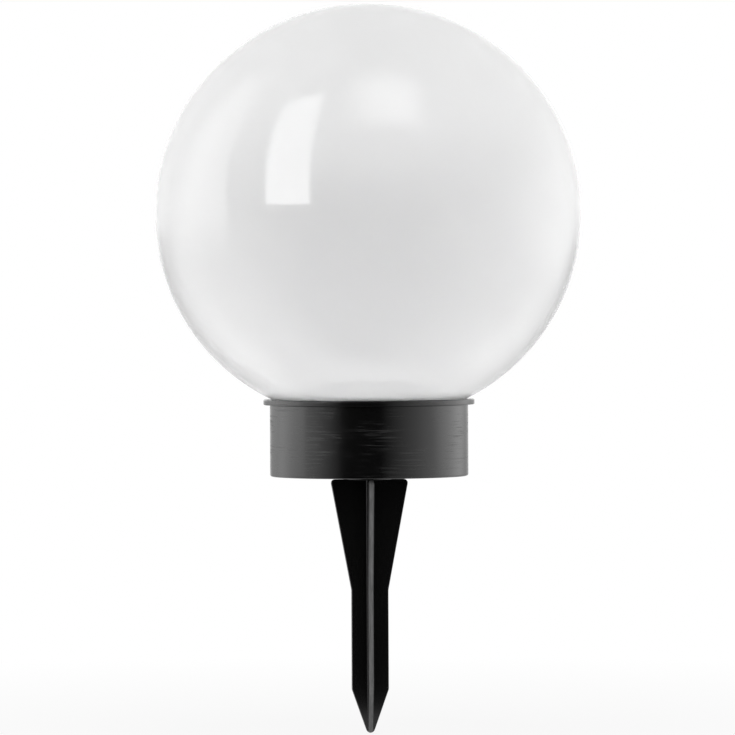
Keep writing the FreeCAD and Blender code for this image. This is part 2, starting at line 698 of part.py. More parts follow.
def add_boss_rib(body, x, y):
    """A rib from a deck boss out to the wall, square to the side that is nearest."""
    wide, outer = half("boss_rib"), f"sqrt({LEDGE_R}^2 - ({y})^2) + dim.ledge_step / 2"
    far = f"-({outer})" if x.startswith("-") else outer
    raised(body, [rectangle(x, f"{y} - {wide}", far, f"{y} + {wide}")], FLOOR, f"({LEDGE} - dim.rib_drop)")


def door_outline(gap):
    """The battery door's long outline, or its recess where gap widens it."""
    return rectangle(
        f"-({BAY_HALF} + dim.door_ledge + {gap})",
        f"{BAY_FRONT} - dim.door_ledge - {gap}",
        f"{BAY_HALF} + dim.door_ledge + {gap}",
        f"{BAY_REAR} + dim.door_ledge + {gap}",
    )


def ear_straps(gap):
    """The straight sides that join each ear to the door, or their recess where gap widens them."""
    wide = f"({half('ear_width')} + {gap})"
    back = f"{BAY_FRONT} - dim.door_ledge / 2"
    return [rectangle(f"{x} - {wide}", y, f"{x} + {wide}", back) for x, y in DOOR_SCREWS]


def make_rim_ring():
    """The flange that caps the base, with a lip that locates it and holds the gasket down."""
    body = new_body("rim_ring")
    lip_r = f"({WALL_R} - dim.rim_lip_gap)"
    turned(
        body,
        [
            (RIM_BORE_R, LIP_END),
            (lip_r, LIP_END),
            (lip_r, SEAT),
            (RIM_R, SEAT),
            (RIM_R, RIM),
            (RIM_BORE_R, RIM),
        ],
    )
    widest = sheet_value(RIM_R)
    rounded(body, "dim.rim_round", lambda e: is_circle(e) and abs(e.Curve.Radius - widest) < 1e-6)
    return body


def make_neck_gasket():
    """The rubber sleeve in the base's mouth, with three ridges that grip the neck."""
    body = new_body("neck_gasket")
    outside = f"({WALL_R} - dim.gasket_seat_gap)"
    inside = f"({outside} - dim.gasket_wall)"
    grip = f"({NECK_R} + dim.gasket_grip_gap)"
    profile = [(inside, LEDGE), (outside, LEDGE), (outside, LIP_END), (inside, LIP_END)]
    for share in ("3", "2", "1"):
        middle = f"({LEDGE} + ({LIP_END} - {LEDGE}) * {share} / 4)"
        profile.append((inside, f"{middle} + dim.gasket_ridge * 0.7"))
        profile.append((grip, f"{middle} + dim.gasket_ridge * 0.2"))
        profile.append((grip, f"{middle} - dim.gasket_ridge * 0.2"))
        profile.append((inside, f"{middle} - dim.gasket_ridge * 0.7"))
    turned(body, profile)
    return body


def make_module_deck():
    """The black deck inside the neck: panel frame, lamp collars, screw holes and standoffs for the board."""
    body = new_body("module_deck")
    lip_in = f"({DECK_R} - dim.deck_lip_wall)"
    lip_top = f"({DECK} + dim.deck_lip_rise)"
    turned(
        body,
        [
            ("0", DECK_UNDER),
            (DECK_R, DECK_UNDER),
            (DECK_R, lip_top),
            (lip_in, lip_top),
            (lip_in, DECK),
            ("0", DECK),
        ],
    )
    seat = "dim.panel_side + 2 * dim.panel_gap"
    frame = centred("0", "0", f"{seat} + 2 * dim.frame_wall", f"{seat} + 2 * dim.frame_wall")
    raised(body, [frame], DECK, f"({DECK} + dim.frame_rise)")
    pocketed(body, [centred("0", "0", seat, seat)], RECESS, f"({DECK} + dim.frame_rise)")
    collar = f"{LAMP_HOLE_R} + dim.lamp_collar_wall"
    raised(body, [(x, y, collar) for x, y in LAMPS], DECK, f"({DECK} + dim.lamp_collar_rise)")
    raised(body, [(x, y, half("standoff_width")) for x, y in BOARD_SCREWS], BOARD, DECK_UNDER)
    pocketed(body, [(x, y, LAMP_HOLE_R) for x, y in LAMPS], DECK_UNDER, f"({DECK} + dim.lamp_collar_rise)")
    pocketed(body, [(x, y, half("deck_screw_hole")) for x, y in DECK_SCREWS], DECK_UNDER, DECK)
    pilot = f"{half('board_screw_shank')} + dim.pilot_gap"
    pocketed(
        body,
        [(x, y, pilot) for x, y in BOARD_SCREWS],
        BOARD,
        f"({BOARD} + dim.standoff_pilot_depth)",
    )
    pocketed(body, [("0", "0", half("wire_hole"))], DECK_UNDER, RECESS)
    return body


def make_solar_panel():
    """Foam tape, backing board, cells in series, their ribbons and the clear resin over them."""
    side = "dim.panel_side"
    tape = block("tape_blank", side, side, "dim.tape_thickness", "0", "0", RECESS)
    window = f"{side} - 2 * dim.tape_width"
    hole = block("tape_window", window, window, "dim.tape_thickness", "0", "0", RECESS)
    without("panel_tape", tape, [hole])
    block("panel_board", side, side, "dim.panel_board_thickness", "0", "0", PANEL)
    count = int(size("cell_count"))
    span = f"({side} - 2 * dim.cell_margin)"
    pitch = f"(({span} + dim.cell_gap) / dim.cell_count)"
    width = f"{pitch} - dim.cell_gap"
    places = [f"({k} - (dim.cell_count - 1) / 2) * {pitch}" for k in range(count)]
    cells = [
        block(f"cell_{k}", width, span, "dim.cell_thickness", x, "0", CELLS)
        for k, x in enumerate(places, 1)
    ]
    group("solar_cells", cells)
    ribbons = [
        block(f"ribbon_{k}", "dim.ribbon_width", span, "dim.ribbon_thickness", x, "0", RIBBONS)
        for k, x in enumerate(places, 1)
    ]
    group("cell_ribbons", ribbons)
    body = new_body("panel_resin")
    cover = f"{side} - 2 * dim.resin_margin"
    raised(body, [centred("0", "0", cover, cover)], RESIN, f"({RESIN} + dim.resin_thickness)")
    top = max(v.Z for v in body.Shape.Vertexes)
    rounded(
        body,
        "dim.resin_round",
        lambda e: is_upright(e) or all(abs(v.Z - top) < 1e-6 for v in e.Vertexes),
    )


def make_lamps():
    """Domed lamps whose flanges sit under the deck, and their two square leads each."""
    straight = "(dim.lamp_height - dim.lamp_width / 2)"
    foot = f"({DECK_UNDER} - dim.lamp_flange_height)"
    lenses, leads = [], []
    for k, (x, y) in enumerate(LAMPS, 1):
        flange = cylinder(f"lamp_{k}_flange", half("lamp_flange"), "dim.lamp_flange_height", x, y, foot)
        barrel = cylinder(f"lamp_{k}_barrel", half("lamp_width"), straight, x, y, foot)
        dome = doc.addObject("Part::Sphere", f"lamp_{k}_dome")
        bind(dome, Radius=half("lamp_width"))
        place(dome, x, y, f"{foot} + {straight}")
        lenses.append(joined(f"lamp_{k}", [flange, barrel, dome]))
        drop = f"({foot} - {BOARD_UNDER} + dim.lead_stick_out)"
        for n, (pin_x, pin_y) in enumerate(lead_spots(x, y), 1):
            name = f"lamp_{k}_lead_{n}"
            leads.append(block(name, "dim.lead_pin", "dim.lead_pin", drop, pin_x, pin_y, f"{foot} - {drop}"))
    group("lamp_lenses", lenses)
    group("lamp_leads", leads)


def lead_spots(x, y):
    """Where a lamp's two leads stand, side by side along the circle of lamps."""
    aside, ahead = (f"({spot}) / {LAMP_CIRCLE} * dim.lead_pitch / 2" for spot in (y, x))
    return [(f"{x} - {aside}", f"{y} + {ahead}"), (f"{x} + {aside}", f"{y} - {ahead}")]


def make_circuit_board():
    body = new_body("circuit_board")
    raised(body, [("0", "0", BOARD_R)], BOARD_UNDER, BOARD)
    hole = "dim.lead_pin * 0.7071 + dim.pin_hole_gap"
    pins = [(*spot, hole) for x, y in LAMPS for spot in lead_spots(x, y)]
    through = [(x, y, f"{half('board_screw_shank')} + dim.pin_hole_gap") for x, y in BOARD_SCREWS]
    pocketed(body, pins + through, BOARD_UNDER, BOARD)
    return body


def make_board_parts():
    """What is soldered under the circuit board: chip, coil, capacitor and resistors."""
    block(
        "driver_chip",
        "dim.chip_length",
        "dim.chip_width",
        "dim.chip_height",
        "0",
        "-15",
        f"{BOARD_UNDER} - dim.chip_height",
    )
    coil = new_body("power_coil")
    low = f"({BOARD_UNDER} - dim.coil_height)"
    edge, waist = half("coil_width"), f"{half('coil_width')} - dim.coil_waist"
    turned(
        coil,
        [
            ("0", low),
            (edge, low),
            (edge, f"{low} + dim.coil_flange"),
            (waist, f"{low} + dim.coil_flange"),
            (waist, f"{BOARD_UNDER} - dim.coil_flange"),
            (edge, f"{BOARD_UNDER} - dim.coil_flange"),
            (edge, BOARD_UNDER),
            ("0", BOARD_UNDER),
        ],
    )
    place(coil, "-17", "-9")
    cylinder(
        "capacitor",
        half("capacitor_width"),
        "dim.capacitor_height",
        "17",
        "-9",
        f"{BOARD_UNDER} - dim.capacitor_height",
    )
    centre = f"({BOARD_UNDER} - dim.resistor_drop)"
    parts = []
    for k, y in enumerate(("13", "17"), 1):
        rod_start, wire_start = "-dim.resistor_length / 2", "-dim.resistor_span / 2"
        rod_r, wire_r = half("resistor_width"), half("resistor_wire")
        rod = lying_cylinder(f"resistor_{k}_rod", rod_r, "dim.resistor_length", rod_start, y, centre)
        wire = lying_cylinder(f"resistor_{k}_wire", wire_r, "dim.resistor_span", wire_start, y, centre)
        legs = [
            cylinder(
                f"resistor_{k}_leg_{n}",
                wire_r,
                "dim.resistor_drop",
                f"{s}dim.resistor_span / 2",
                y,
                centre,
            )
            for n, s in enumerate(("-", ""), 1)
        ]
        parts.append(joined(f"resistor_{k}", [rod, wire, *legs]))
    group("resistors", parts)


def make_battery():
    """The rechargeable cell, its sleeve, the spring contact at its flat end and the plate at its button."""
    left = f"({BAY_HALF} - dim.contact_thickness - dim.cell_length)"
    can_r = f"({half('cell_width')} - dim.sleeve_wall)"
    barrel = f"(dim.cell_length - dim.button_height)"
    can = lying_cylinder("can_barrel", can_r, barrel, left, "dim.bay_back", CELL_CENTRE)
    button_r = half("button_width")
    button = lying_cylinder("can_button", button_r, "dim.cell_length", left, "dim.bay_back", CELL_CENTRE)
    joined("battery_can", [can, button])
    skin = lying_cylinder("sleeve_blank", half("cell_width"), barrel, left, "dim.bay_back", CELL_CENTRE)
    core = lying_cylinder("sleeve_core", can_r, barrel, left, "dim.bay_back", CELL_CENTRE)
    without("battery_sleeve", skin, [core])
    tab_top = f"({BAY_TOP} + dim.tab_rise)"
    low = f"({CELL_CENTRE} - dim.contact_height / 2)"
    for label, side in (("spring_plate", "-"), ("button_plate", "")):
        x = f"{side}({BAY_HALF} - dim.contact_thickness / 2)"
        plate = block(
            f"{label}_face",
            "dim.contact_thickness",
            "dim.contact_width",
            "dim.contact_height",
            x,
            "dim.bay_back",
            low,
        )
        tab = block(
            f"{label}_tab",
            "dim.contact_thickness",
            "dim.tab_width",
            f"{tab_top} - {CELL_CENTRE}",
            x,
            "dim.bay_back",
            CELL_CENTRE,
        )
        joined(label, [plate, tab])
    make_contact_spring()


def make_contact_spring():
    """A cone of turns along +X, drawn as quarter-turn arcs that follow a steadily narrowing screw line."""
    wire, length = size("spring_wire"), size("spring_length")
    wide = (size("spring_width") - wire) / 2
    narrow = (size("spring_tip_width") - wire) / 2
    turns = size("spring_turns")

    def spot(share):
        angle = 2 * math.pi * turns * share
        radius = wide + (narrow - wide) * share
        along = wire / 2 + (length - wire) * share
        return Vector(along, radius * math.cos(angle), radius * math.sin(angle))

    steps = int(4 * turns)
    arcs = [
        Part.Arc(spot(k / steps), spot((k + 0.5) / steps), spot((k + 1) / steps)).toShape()
        for k in range(steps)
    ]
    path = Part.Wire(arcs)
    start = path.Edges[0]
    circle = Part.Circle(start.valueAt(start.FirstParameter), start.tangentAt(start.FirstParameter), wire / 2)
    spring = doc.addObject("Part::Feature", "contact_spring")
    spring.Shape = path.makePipeShell([Part.Wire(circle.toShape())], True, False)
    place(spring, f"-({BAY_HALF} - dim.contact_thickness)", "dim.bay_back", CELL_CENTRE)


def make_battery_door():
    """The door plate with two screw ears, a groove for its seal and a notch to lift it by."""
    body = new_body("battery_door")
    raised(body, [door_outline("0")], UNDER, DOOR_TOP)
    rounded(body, "dim.door_corner", is_upright)
    raised(body, [(x, y, half("ear_width")) for x, y in DOOR_SCREWS], UNDER, DOOR_TOP)
    raised(body, ear_straps("0"), UNDER, DOOR_TOP)
    sink = f"({UNDER} + dim.door_screw_rise)"
    pocketed(body, [(x, y, f"{half('door_screw_head')} + dim.door_gap") for x, y in DOOR_SCREWS], UNDER, sink)
    pocketed(body, [(x, y, half("door_screw_hole")) for x, y in DOOR_SCREWS], sink, DOOR_TOP)
    inner, outer = seal_outlines("dim.pilot_gap")
    pocketed(body, [outer, inner], f"({DOOR_TOP} - dim.seal_groove)", DOOR_TOP)
    notch = centred("0", f"{BAY_REAR} + dim.door_ledge", "dim.finger_notch_length", "dim.door_ledge")
    pocketed(body, [notch], UNDER, f"({UNDER} + dim.seal_groove)")
    return body


def seal_outlines(gap):
    """Inner and outer outline of the door seal, which runs round the bay's mouth under its wall."""
    middle = "(dim.door_ledge * 0.45)"
    found = []
    for sign in ("-", "+"):
        out = f"({middle} {sign} (dim.seal_width / 2 + {gap}))"
        found.append(
            rectangle(
                f"-({BAY_HALF} + {out})",
                f"{BAY_FRONT} - {out}",
                f"{BAY_HALF} + {out}",
                f"{BAY_REAR} + {out}",
            )
        )
    return found


def make_door_seal():
    body = new_body("door_seal")
    inner, outer = seal_outlines("0")
    seal_top = f"({DOOR_TOP} - dim.seal_groove * dim.seal_rise)"
    raised(body, [outer, inner], f"({DOOR_TOP} - dim.seal_groove)", seal_top)
    return body


def make_switch():
    """The slide switch on the floor: mounting plate, can, knob and solder terminals."""
    y = "-dim.switch_front"
    slot_length = "(dim.knob_length + dim.knob_travel + 2 * dim.knob_gap)"
    slot_width = "(dim.knob_width + 2 * dim.knob_gap)"
    wide = "dim.switch_width"
    plate = block("plate_blank", "dim.plate_length", wide, "dim.plate_thickness", "0", y, SWITCH_PLATE)
    cuts = [block("plate_slot", slot_length, slot_width, "dim.plate_thickness", "0", y, SWITCH_PLATE)]
    for k, (x, y_hole) in enumerate(SWITCH_SCREWS, 1):
        hole = f"{half('switch_screw_shank')} + dim.pilot_gap"
        cuts.append(cylinder(f"plate_hole_{k}", hole, "dim.plate_thickness", x, y_hole, SWITCH_PLATE))
    without("switch_plate", plate, cuts)
    shell = block("can_blank", "dim.switch_length", wide, "dim.switch_height", "0", y, SWITCH_CAN)
    inner = "2 * dim.switch_wall"
    room = block(
        "can_room",
        f"dim.switch_length - {inner}",
        f"dim.switch_width - {inner}",
        "dim.switch_height - dim.switch_wall",
        "0",
        y,
        SWITCH_CAN,
    )
    without("switch_can", shell, [room])
    pins = [
        block(
            f"terminal_{k}",
            "dim.terminal_width",
            "dim.terminal_thickness",
            "dim.terminal_height",
            f"({k} - (dim.terminal_count + 1) / 2) * dim.terminal_pitch",
            y,
            SWITCH_TOP,
        )
        for k in range(1, int(size("terminal_count")) + 1)
    ]
    group("switch_terminals", pins)
    x = "(-dim.knob_travel / 2)"
    tip = f"({UNDER} + dim.knob_sink)"
    foot = f"({SWITCH_CAN} + dim.knob_foot_gap)"
    stem = block("knob_stem", "dim.knob_length", "dim.knob_width", f"{foot} - {tip}", x, y, tip)
    base = block("knob_base", "dim.knob_foot_length", "dim.knob_foot_width", "dim.knob_foot", x, y, foot)
    count = int(size("grip_count"))
    grooves = [
        block(
            f"knob_groove_{k}",
            "dim.grip_width",
            "dim.knob_width",
            "dim.grip_depth",
            f"{x} + ({k} - {(count - 1) / 2}) * dim.grip_width * 2",
            y,
            tip,
        )
        for k in range(count)
    ]
    without("switch_knob", joined("knob_blank", [stem, base]), grooves)


def station(name, x, y, z):
    """A point that a lead passes, tied to the sizes."""
    return bind(doc.addObject("Part::Vertex", name), X=x, Y=y, Z=z)


def tube_along(points, width):
    """A round tube whose straight runs meet in tangent arcs, as wide as the runs beside each bend allow."""
    edges, here = [], points[0]
    for before, corner, after in zip(points, points[1:], points[2:]):
        back, ahead = (before - corner), (after - corner)
        shorter = min(back.Length, ahead.Length)
        turn = math.pi - back.getAngle(ahead)
        back.normalize()
        ahead.normalize()
        cut = 0.45 * shorter
        radius = cut / math.tan(turn / 2)
        first, last = corner + back * cut, corner + ahead * cut
        middle = corner + (back + ahead).normalize() * (math.hypot(radius, cut) - radius)
        edges.append(Part.LineSegment(here, first).toShape())
        edges.append(Part.Arc(first, middle, last).toShape())
        print(f"lead bend radius {radius:.1f}")
        here = last
    edges.append(Part.LineSegment(here, points[-1]).toShape())
    path = Part.Wire(edges)
    start = path.Edges[0]
    circle = Part.Circle(points[0], start.tangentAt(start.FirstParameter), width / 2)
    tube = path.makePipeShell([Part.Wire(circle.toShape())], True, False)
    wanted = math.pi * width**2 / 4 * path.Length
    if abs(tube.Volume - wanted) > 0.01 * wanted:
        raise RuntimeError("a lead's tube has the wrong volume")
    return tube


def make_leads():
    """Red and black leads from the panel, the battery and the switch to the circuit board."""
    tab_top = f"({BAY_TOP} + dim.tab_rise)"
    pin_top = f"({SWITCH_TOP} + dim.terminal_height)"
    routes = {}
    for colour, side in (("red", ""), ("black", "-")):
        near, far = f"{side}dim.panel_lead_spread", f"{side}dim.panel_lead_landing"
        drop = f"({PANEL} - {BOARD})"
        panel = [
            (near, "0", PANEL),
            (near, "0", f"{PANEL} - {drop} * 0.35"),
            (far, "0", f"{BOARD} + {drop} * 0.35"),
            (far, "0", BOARD),
        ]
        tab = f"{side}({BAY_HALF} - dim.contact_thickness / 2)"
        landing = f"{side}dim.battery_lead_landing"
        climb = f"({BOARD_UNDER} - {tab_top})"
        battery = [
            (tab, "dim.bay_back", tab_top),
            (tab, "dim.bay_back", f"{tab_top} + {climb} * 0.36"),
            (landing, "dim.battery_lead_back", f"{BOARD_UNDER} - {climb} * 0.36"),
            (landing, "dim.battery_lead_back", BOARD_UNDER),
        ]
        pin = f"{side}dim.terminal_pitch"
        wide = f"{side}dim.switch_lead_landing"
        rise = f"({BOARD_UNDER} - {pin_top})"
        switch = [
            (pin, "-dim.switch_front", pin_top),
            (pin, "-dim.switch_front", f"{pin_top} + {rise} * 0.36"),
            (wide, "-dim.switch_lead_front", f"{BOARD_UNDER} - {rise} * 0.36"),
            (wide, "-dim.switch_lead_front", BOARD_UNDER),
        ]
        routes[colour] = [
            [station(f"{colour}_{n}_{k}", *spot) for k, spot in enumerate(route, 1)]
            for n, route in enumerate((panel, battery, switch), 1)
        ]
    doc.recompute()
    for colour, found in routes.items():
        tubes = [
            tube_along([Vector(v.X.Value, v.Y.Value, v.Z.Value) for v in route], size("lead_width"))
            for route in found
        ]
        leads = doc.addObject("Part::Feature", f"{colour}_leads")
        leads.Shape = Part.makeCompound(tubes)


def make_globe_shade():
    """The opal globe: two arcs turned about the axis, a flat shoulder and a straight neck below it.

    The crown is part of a ball, and the side's arc meets it without a kink. The inside keeps the centres.
    """
    body = new_body("globe_shade")
    sketch = new_sketch(body, "XZ_Plane")
    shift = "(dim.globe_flattening / 2 / (cos(dim.crown_angle) + sin(dim.crown_angle) - 1))"
    side_x = f"({shift} * cos(dim.crown_angle))"
    side_r = f"({half('globe_width')} - {side_x})"
    centre = f"({RIM} + sqrt({side_r}^2 - ({NECK_R} + dim.shoulder_width - {side_x})^2))"
    crown_z = f"({centre} - {shift} * sin(dim.crown_angle))"
    ends = []
    for wall, foot_z in (("0", RIM), ("dim.globe_wall", f"({RIM} + dim.shoulder_wall)")):
        reach = f"({side_r} - {wall})"
        joint = (f"{side_x} + {reach} * cos(dim.crown_angle)", f"{centre} + {reach} * sin(dim.crown_angle)")
        crown = add_arc(sketch, ("0", crown_z), math.radians(size("crown_angle")), math.pi / 2)
        side = add_arc(sketch, (side_x, centre), -1.1, math.radians(size("crown_angle")))
        pin_point(sketch, crown, 1, *joint)
        sketch.addConstraint(Sketcher.Constraint("PointOnObject", crown, 2, -2))
        sketch.addConstraint(Sketcher.Constraint("Coincident", crown, 1, side, 2))
        foot = Sketcher.Constraint("DistanceY", -1, 1, side, 1, sheet_value(foot_z))
        index = sketch.addConstraint(foot)
        sketch.setExpression(f"Constraints[{index}]", foot_z)
        ends.append((crown, side))
    (crown_out, side_out), (crown_in, side_in) = ends
    corners = [
        (NECK_R, RIM),
        (NECK_R, f"({NECK_END} + dim.neck_lead_in)"),
        (f"({NECK_R} - dim.neck_lead_in)", NECK_END),
        (NECK_IN_R, NECK_END),
        (NECK_IN_R, f"({RIM} + dim.shoulder_wall)"),
    ]
    spots = [Vector(sheet_value(x), sheet_value(z), 0) for x, z in corners]
    spots = [sketch.getPoint(side_out, 1), *spots, sketch.getPoint(side_in, 1)]
    lines = [sketch.addGeometry(Part.LineSegment(a, b), False) for a, b in zip(spots, spots[1:])]
    for line, (x, z) in zip(lines[1:], corners):
        pin_point(sketch, line, 1, x, z)
    cut = (sketch.getPoint(crown_out, 2), sketch.getPoint(crown_in, 2))
    axis = sketch.addGeometry(Part.LineSegment(*cut), False)
    joins = [(a, 2, b, 1) for a, b in zip(lines, lines[1:])]
    joins += [(side_out, 1, lines[0], 1), (side_in, 1, lines[-1], 2)]
    joins += [(crown_out, 2, axis, 1), (crown_in, 2, axis, 2)]
    for join in joins:
        sketch.addConstraint(Sketcher.Constraint("Coincident", *join))
    spin = body.newObject("PartDesign::Revolution", "globe_turned")
    spin.Profile = sketch
    spin.ReferenceAxis = (sketch, ["V_Axis"])
    spin.Angle = 360
    settle(spin)
    return body


def add_arc(sketch, centre, start, end):
    """An arc about a centre tied to the sizes, drawn near its size from one angle to the other."""
    spot = Vector(sheet_value(centre[0]), sheet_value(centre[1]), 0)
    circle = Part.Circle(spot, Vector(0, 0, 1), size("globe_width") / 2)
    arc = sketch.addGeometry(Part.ArcOfCircle(circle, start, end), False)
    pin_point(sketch, arc, 3, *centre)
    return arc


NODES = [
    "ground_stake",
    "base_housing",
    "rim_ring",
    "neck_gasket",
    "module_deck",
    "deck_screws",
    "panel_tape",
    "panel_board",
    "solar_cells",
    "cell_ribbons",
    "panel_resin",
    "lamp_lenses",
    "lamp_leads",
    "circuit_board",
    "board_screws",
    "driver_chip",
    "power_coil",
    "capacitor",
    "resistors",
    "battery_can",
    "battery_sleeve",
    "spring_plate",
    "button_plate",
    "contact_spring",
    "battery_door",
    "door_seal",
    "door_screws",
    "switch_plate",
    "switch_can",
    "switch_terminals",
    "switch_knob",
    "switch_screws",
    "red_leads",
    "black_leads",
    "globe_shade",
]


def main():
    make_ground_stake()
    make_base_housing()
    make_rim_ring()
    make_neck_gasket()
    make_module_deck()
    screws("deck_screws", "deck_screw", DECK_SCREWS, DECK)
    make_solar_panel()
    make_lamps()
    make_circuit_board()
    screws("board_screws", "board_screw", BOARD_SCREWS, BOARD_UNDER, up=True)
    make_board_parts()
    make_battery()
    make_battery_door()
    make_door_seal()
    screws("door_screws", "door_screw", DOOR_SCREWS, f"({UNDER} + dim.door_screw_rise)", up=True)
    make_switch()
    screws("switch_screws", "switch_screw", SWITCH_SCREWS, SWITCH_RECESS, up=True)
    make_leads()
    make_globe_shade()
    doc.recompute()
    failed = [o.Name for o in doc.Objects if "Invalid" in o.State or "Error" in o.State]
    if failed:
        raise RuntimeError(f"these objects failed: {failed}")
    os.makedirs("parts", exist_ok=True)
    for label in NODES:
        shape = doc.getObjectsByLabel(label)[0].Shape
        if shape.isNull() or not shape.isValid() or not shape.Solids:
            raise RuntimeError(f"{label} has no valid solid")
        print(f"{label}: {len(shape.Solids)} solids, {shape.Volume / 1000:.2f} cm3")
        shape.exportStep(os.path.join("parts", f"{label}.step"))


main()
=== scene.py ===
"""Garden globe light: an opal globe on a round black base that plugs onto a stake of crossed blades."""

import json
import math

import bpy
import numpy as np
from bpy.props import FloatProperty, FloatVectorProperty, IntProperty, PointerProperty
from mathutils.geometry import delaunay_2d_cdt
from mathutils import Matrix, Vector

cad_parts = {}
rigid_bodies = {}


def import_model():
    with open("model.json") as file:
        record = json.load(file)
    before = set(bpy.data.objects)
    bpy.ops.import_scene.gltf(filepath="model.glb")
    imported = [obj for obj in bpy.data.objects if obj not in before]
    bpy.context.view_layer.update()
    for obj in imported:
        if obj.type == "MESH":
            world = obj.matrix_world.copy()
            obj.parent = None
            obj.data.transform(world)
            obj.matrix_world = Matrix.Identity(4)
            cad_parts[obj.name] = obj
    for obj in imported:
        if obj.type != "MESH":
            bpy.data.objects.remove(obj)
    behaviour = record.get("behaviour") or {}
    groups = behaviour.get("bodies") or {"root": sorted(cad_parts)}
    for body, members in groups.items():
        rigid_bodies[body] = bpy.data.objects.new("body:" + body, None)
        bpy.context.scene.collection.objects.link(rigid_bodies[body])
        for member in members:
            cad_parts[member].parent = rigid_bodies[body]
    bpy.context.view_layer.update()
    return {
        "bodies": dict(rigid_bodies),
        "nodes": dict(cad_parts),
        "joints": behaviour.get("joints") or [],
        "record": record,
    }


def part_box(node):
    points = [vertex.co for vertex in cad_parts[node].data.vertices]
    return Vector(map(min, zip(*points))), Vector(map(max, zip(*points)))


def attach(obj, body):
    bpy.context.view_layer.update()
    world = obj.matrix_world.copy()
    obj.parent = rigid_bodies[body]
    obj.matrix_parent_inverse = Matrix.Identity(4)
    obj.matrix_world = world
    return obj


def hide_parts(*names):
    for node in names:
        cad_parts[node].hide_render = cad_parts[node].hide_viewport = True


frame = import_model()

bl_info = {
    "name": "Garden Globe Light",
    "version": (1, 0, 0),
    "blender": (4, 5, 0),
    "location": "3D View > Sidebar > Globe Light",
    "description": "Surfaces, finishes and studio for a garden globe light",
    "category": "Object",
}

# Shapes are worked out in millimetres and put into the meshes in metres.
MM = 0.001
# A rounded edge has one more row of points this far beyond each end, which keeps the flats beside it flat.
SUPPORT = 0.03


def box_mm(node):
    """Lowest and highest corner of a CAD node, in millimetres."""
    low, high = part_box(node)
    return np.array(low) / MM, np.array(high) / MM


GLOBE_LOW, GLOBE_HIGH = box_mm("globe_shade")
RIM_LOW, RIM_HIGH = box_mm("rim_ring")
BASE_LOW, BASE_HIGH = box_mm("base_housing")
STAKE_LOW, STAKE_HIGH = box_mm("ground_stake")
DECK_HIGH = box_mm("module_deck")[1]
PANEL_LOW, PANEL_HIGH = box_mm("panel_resin")
BOARD_LOW, BOARD_HIGH = box_mm("circuit_board")
DOOR_LOW, DOOR_HIGH = box_mm("battery_door")
SEAL_LOW, SEAL_HIGH = box_mm("door_seal")
KNOB_LOW, KNOB_HIGH = box_mm("switch_knob")
GASKET_LOW, GASKET_HIGH = box_mm("neck_gasket")
LAMPS_LOW, LAMPS_HIGH = box_mm("lamp_lenses")

# Places that several pieces share, in millimetres: the deck's two faces, the screws' middles, how deep their
# heads are sunk under the base, and the radius of the lamps' circle.
DECK_UNDER, DECK_FACE = 34.6, 37.0
DECK_SCREWS = [
    (side * 34.3 * math.cos(math.radians(angle)), 34.3 * math.sin(math.radians(angle)))
    for angle in (20, -55)
    for side in (1, -1)
]
BOARD_SCREWS = [
    (23 * math.cos(math.radians(angle)), 23 * math.sin(math.radians(angle))) for angle in (45, 165, 285)
]
DOOR_SCREWS = [(-14, 16.2), (14, 16.2)]
SWITCH_SCREWS = [(-7.5, -25), (7.5, -25)]
HEAD_SEAT = 1.1
LAMP_CIRCLE = 28.45


# Outlines and profiles: rows of points in a plane.


def rounded(corners, radii, steps=6):
    """A closed outline whose corners are arcs.

    Each arc touches both sides of its corner: its centre lies on the corner's bisector, radius / sin(half
    angle) away, and its points are turned steadily from one touching point to the other.
    """
    corners = np.asarray(corners, float)
    radii = np.broadcast_to(np.asarray(radii, float), corners.shape[:-1])[..., None]
    before = np.roll(corners, 1, axis=-2) - corners
    after = np.roll(corners, -1, axis=-2) - corners
    before /= np.linalg.norm(before, axis=-1, keepdims=True)
    after /= np.linalg.norm(after, axis=-1, keepdims=True)
    half = 0.5 * np.arccos(np.clip((before * after).sum(-1, keepdims=True), -1, 1))
    bisector = (before + after) / np.linalg.norm(before + after, axis=-1, keepdims=True)
    centre = corners + bisector * radii / np.sin(half)
    first = corners + before * radii / np.tan(half)
    last = corners + after * radii / np.tan(half)
    turn = math.pi - 2 * half
    share = np.linspace(0, 1, steps + 1)
    arms = [
        (np.sin((1 - s) * turn) * (first - centre) + np.sin(s * turn) * (last - centre)) / np.sin(turn)
        for s in share
    ]
    rows = [first + before * SUPPORT, *[centre + arm for arm in arms], last + after * SUPPORT]
    rows = np.stack(rows, axis=-2)
    return rows.reshape(*corners.shape[:-2], -1, 2)


def circle(radius, x=0.0, y=0.0, points=64, hole=False):
    """A circle, run clockwise where it is a hole."""
    angle = np.linspace(0, 2 * math.pi, points, endpoint=False)
    angle = -angle if hole else angle
    return np.stack([x + radius * np.cos(angle), y + radius * np.sin(angle)], -1)


def rectangle(left, front, right, back, radius=0.5, hole=False):
    """A rectangle with rounded corners, run clockwise where it is a hole."""
    corners = [(left, front), (right, front), (right, back), (left, back)]
    outline = rounded(corners, radius)
    return outline[::-1] if hole else outline


# Surfaces: each is a tuple of points, four-cornered faces and three-cornered faces.

NO_TRIS = np.zeros((0, 3), int)


def grid_faces(rows, columns, loop_rows=False):
    """The faces between the rows and columns of a grid whose columns go all the way round."""
    row = np.arange(rows if loop_rows else rows - 1)[:, None]
    column = np.arange(columns)[None, :]
    following, beside = (row + 1) % rows, (column + 1) % columns
    near, far = row * columns, following * columns
    return np.stack([near + column, near + beside, far + beside, far + column], -1).reshape(-1, 4)


def fan(pole, ring, upward):
    """Three-cornered faces between one point and a ring of points."""
    beside = np.roll(ring, -1)
    pair = (ring, beside) if upward else (beside, ring)
    return np.stack([np.full(len(ring), pole), *pair], -1)


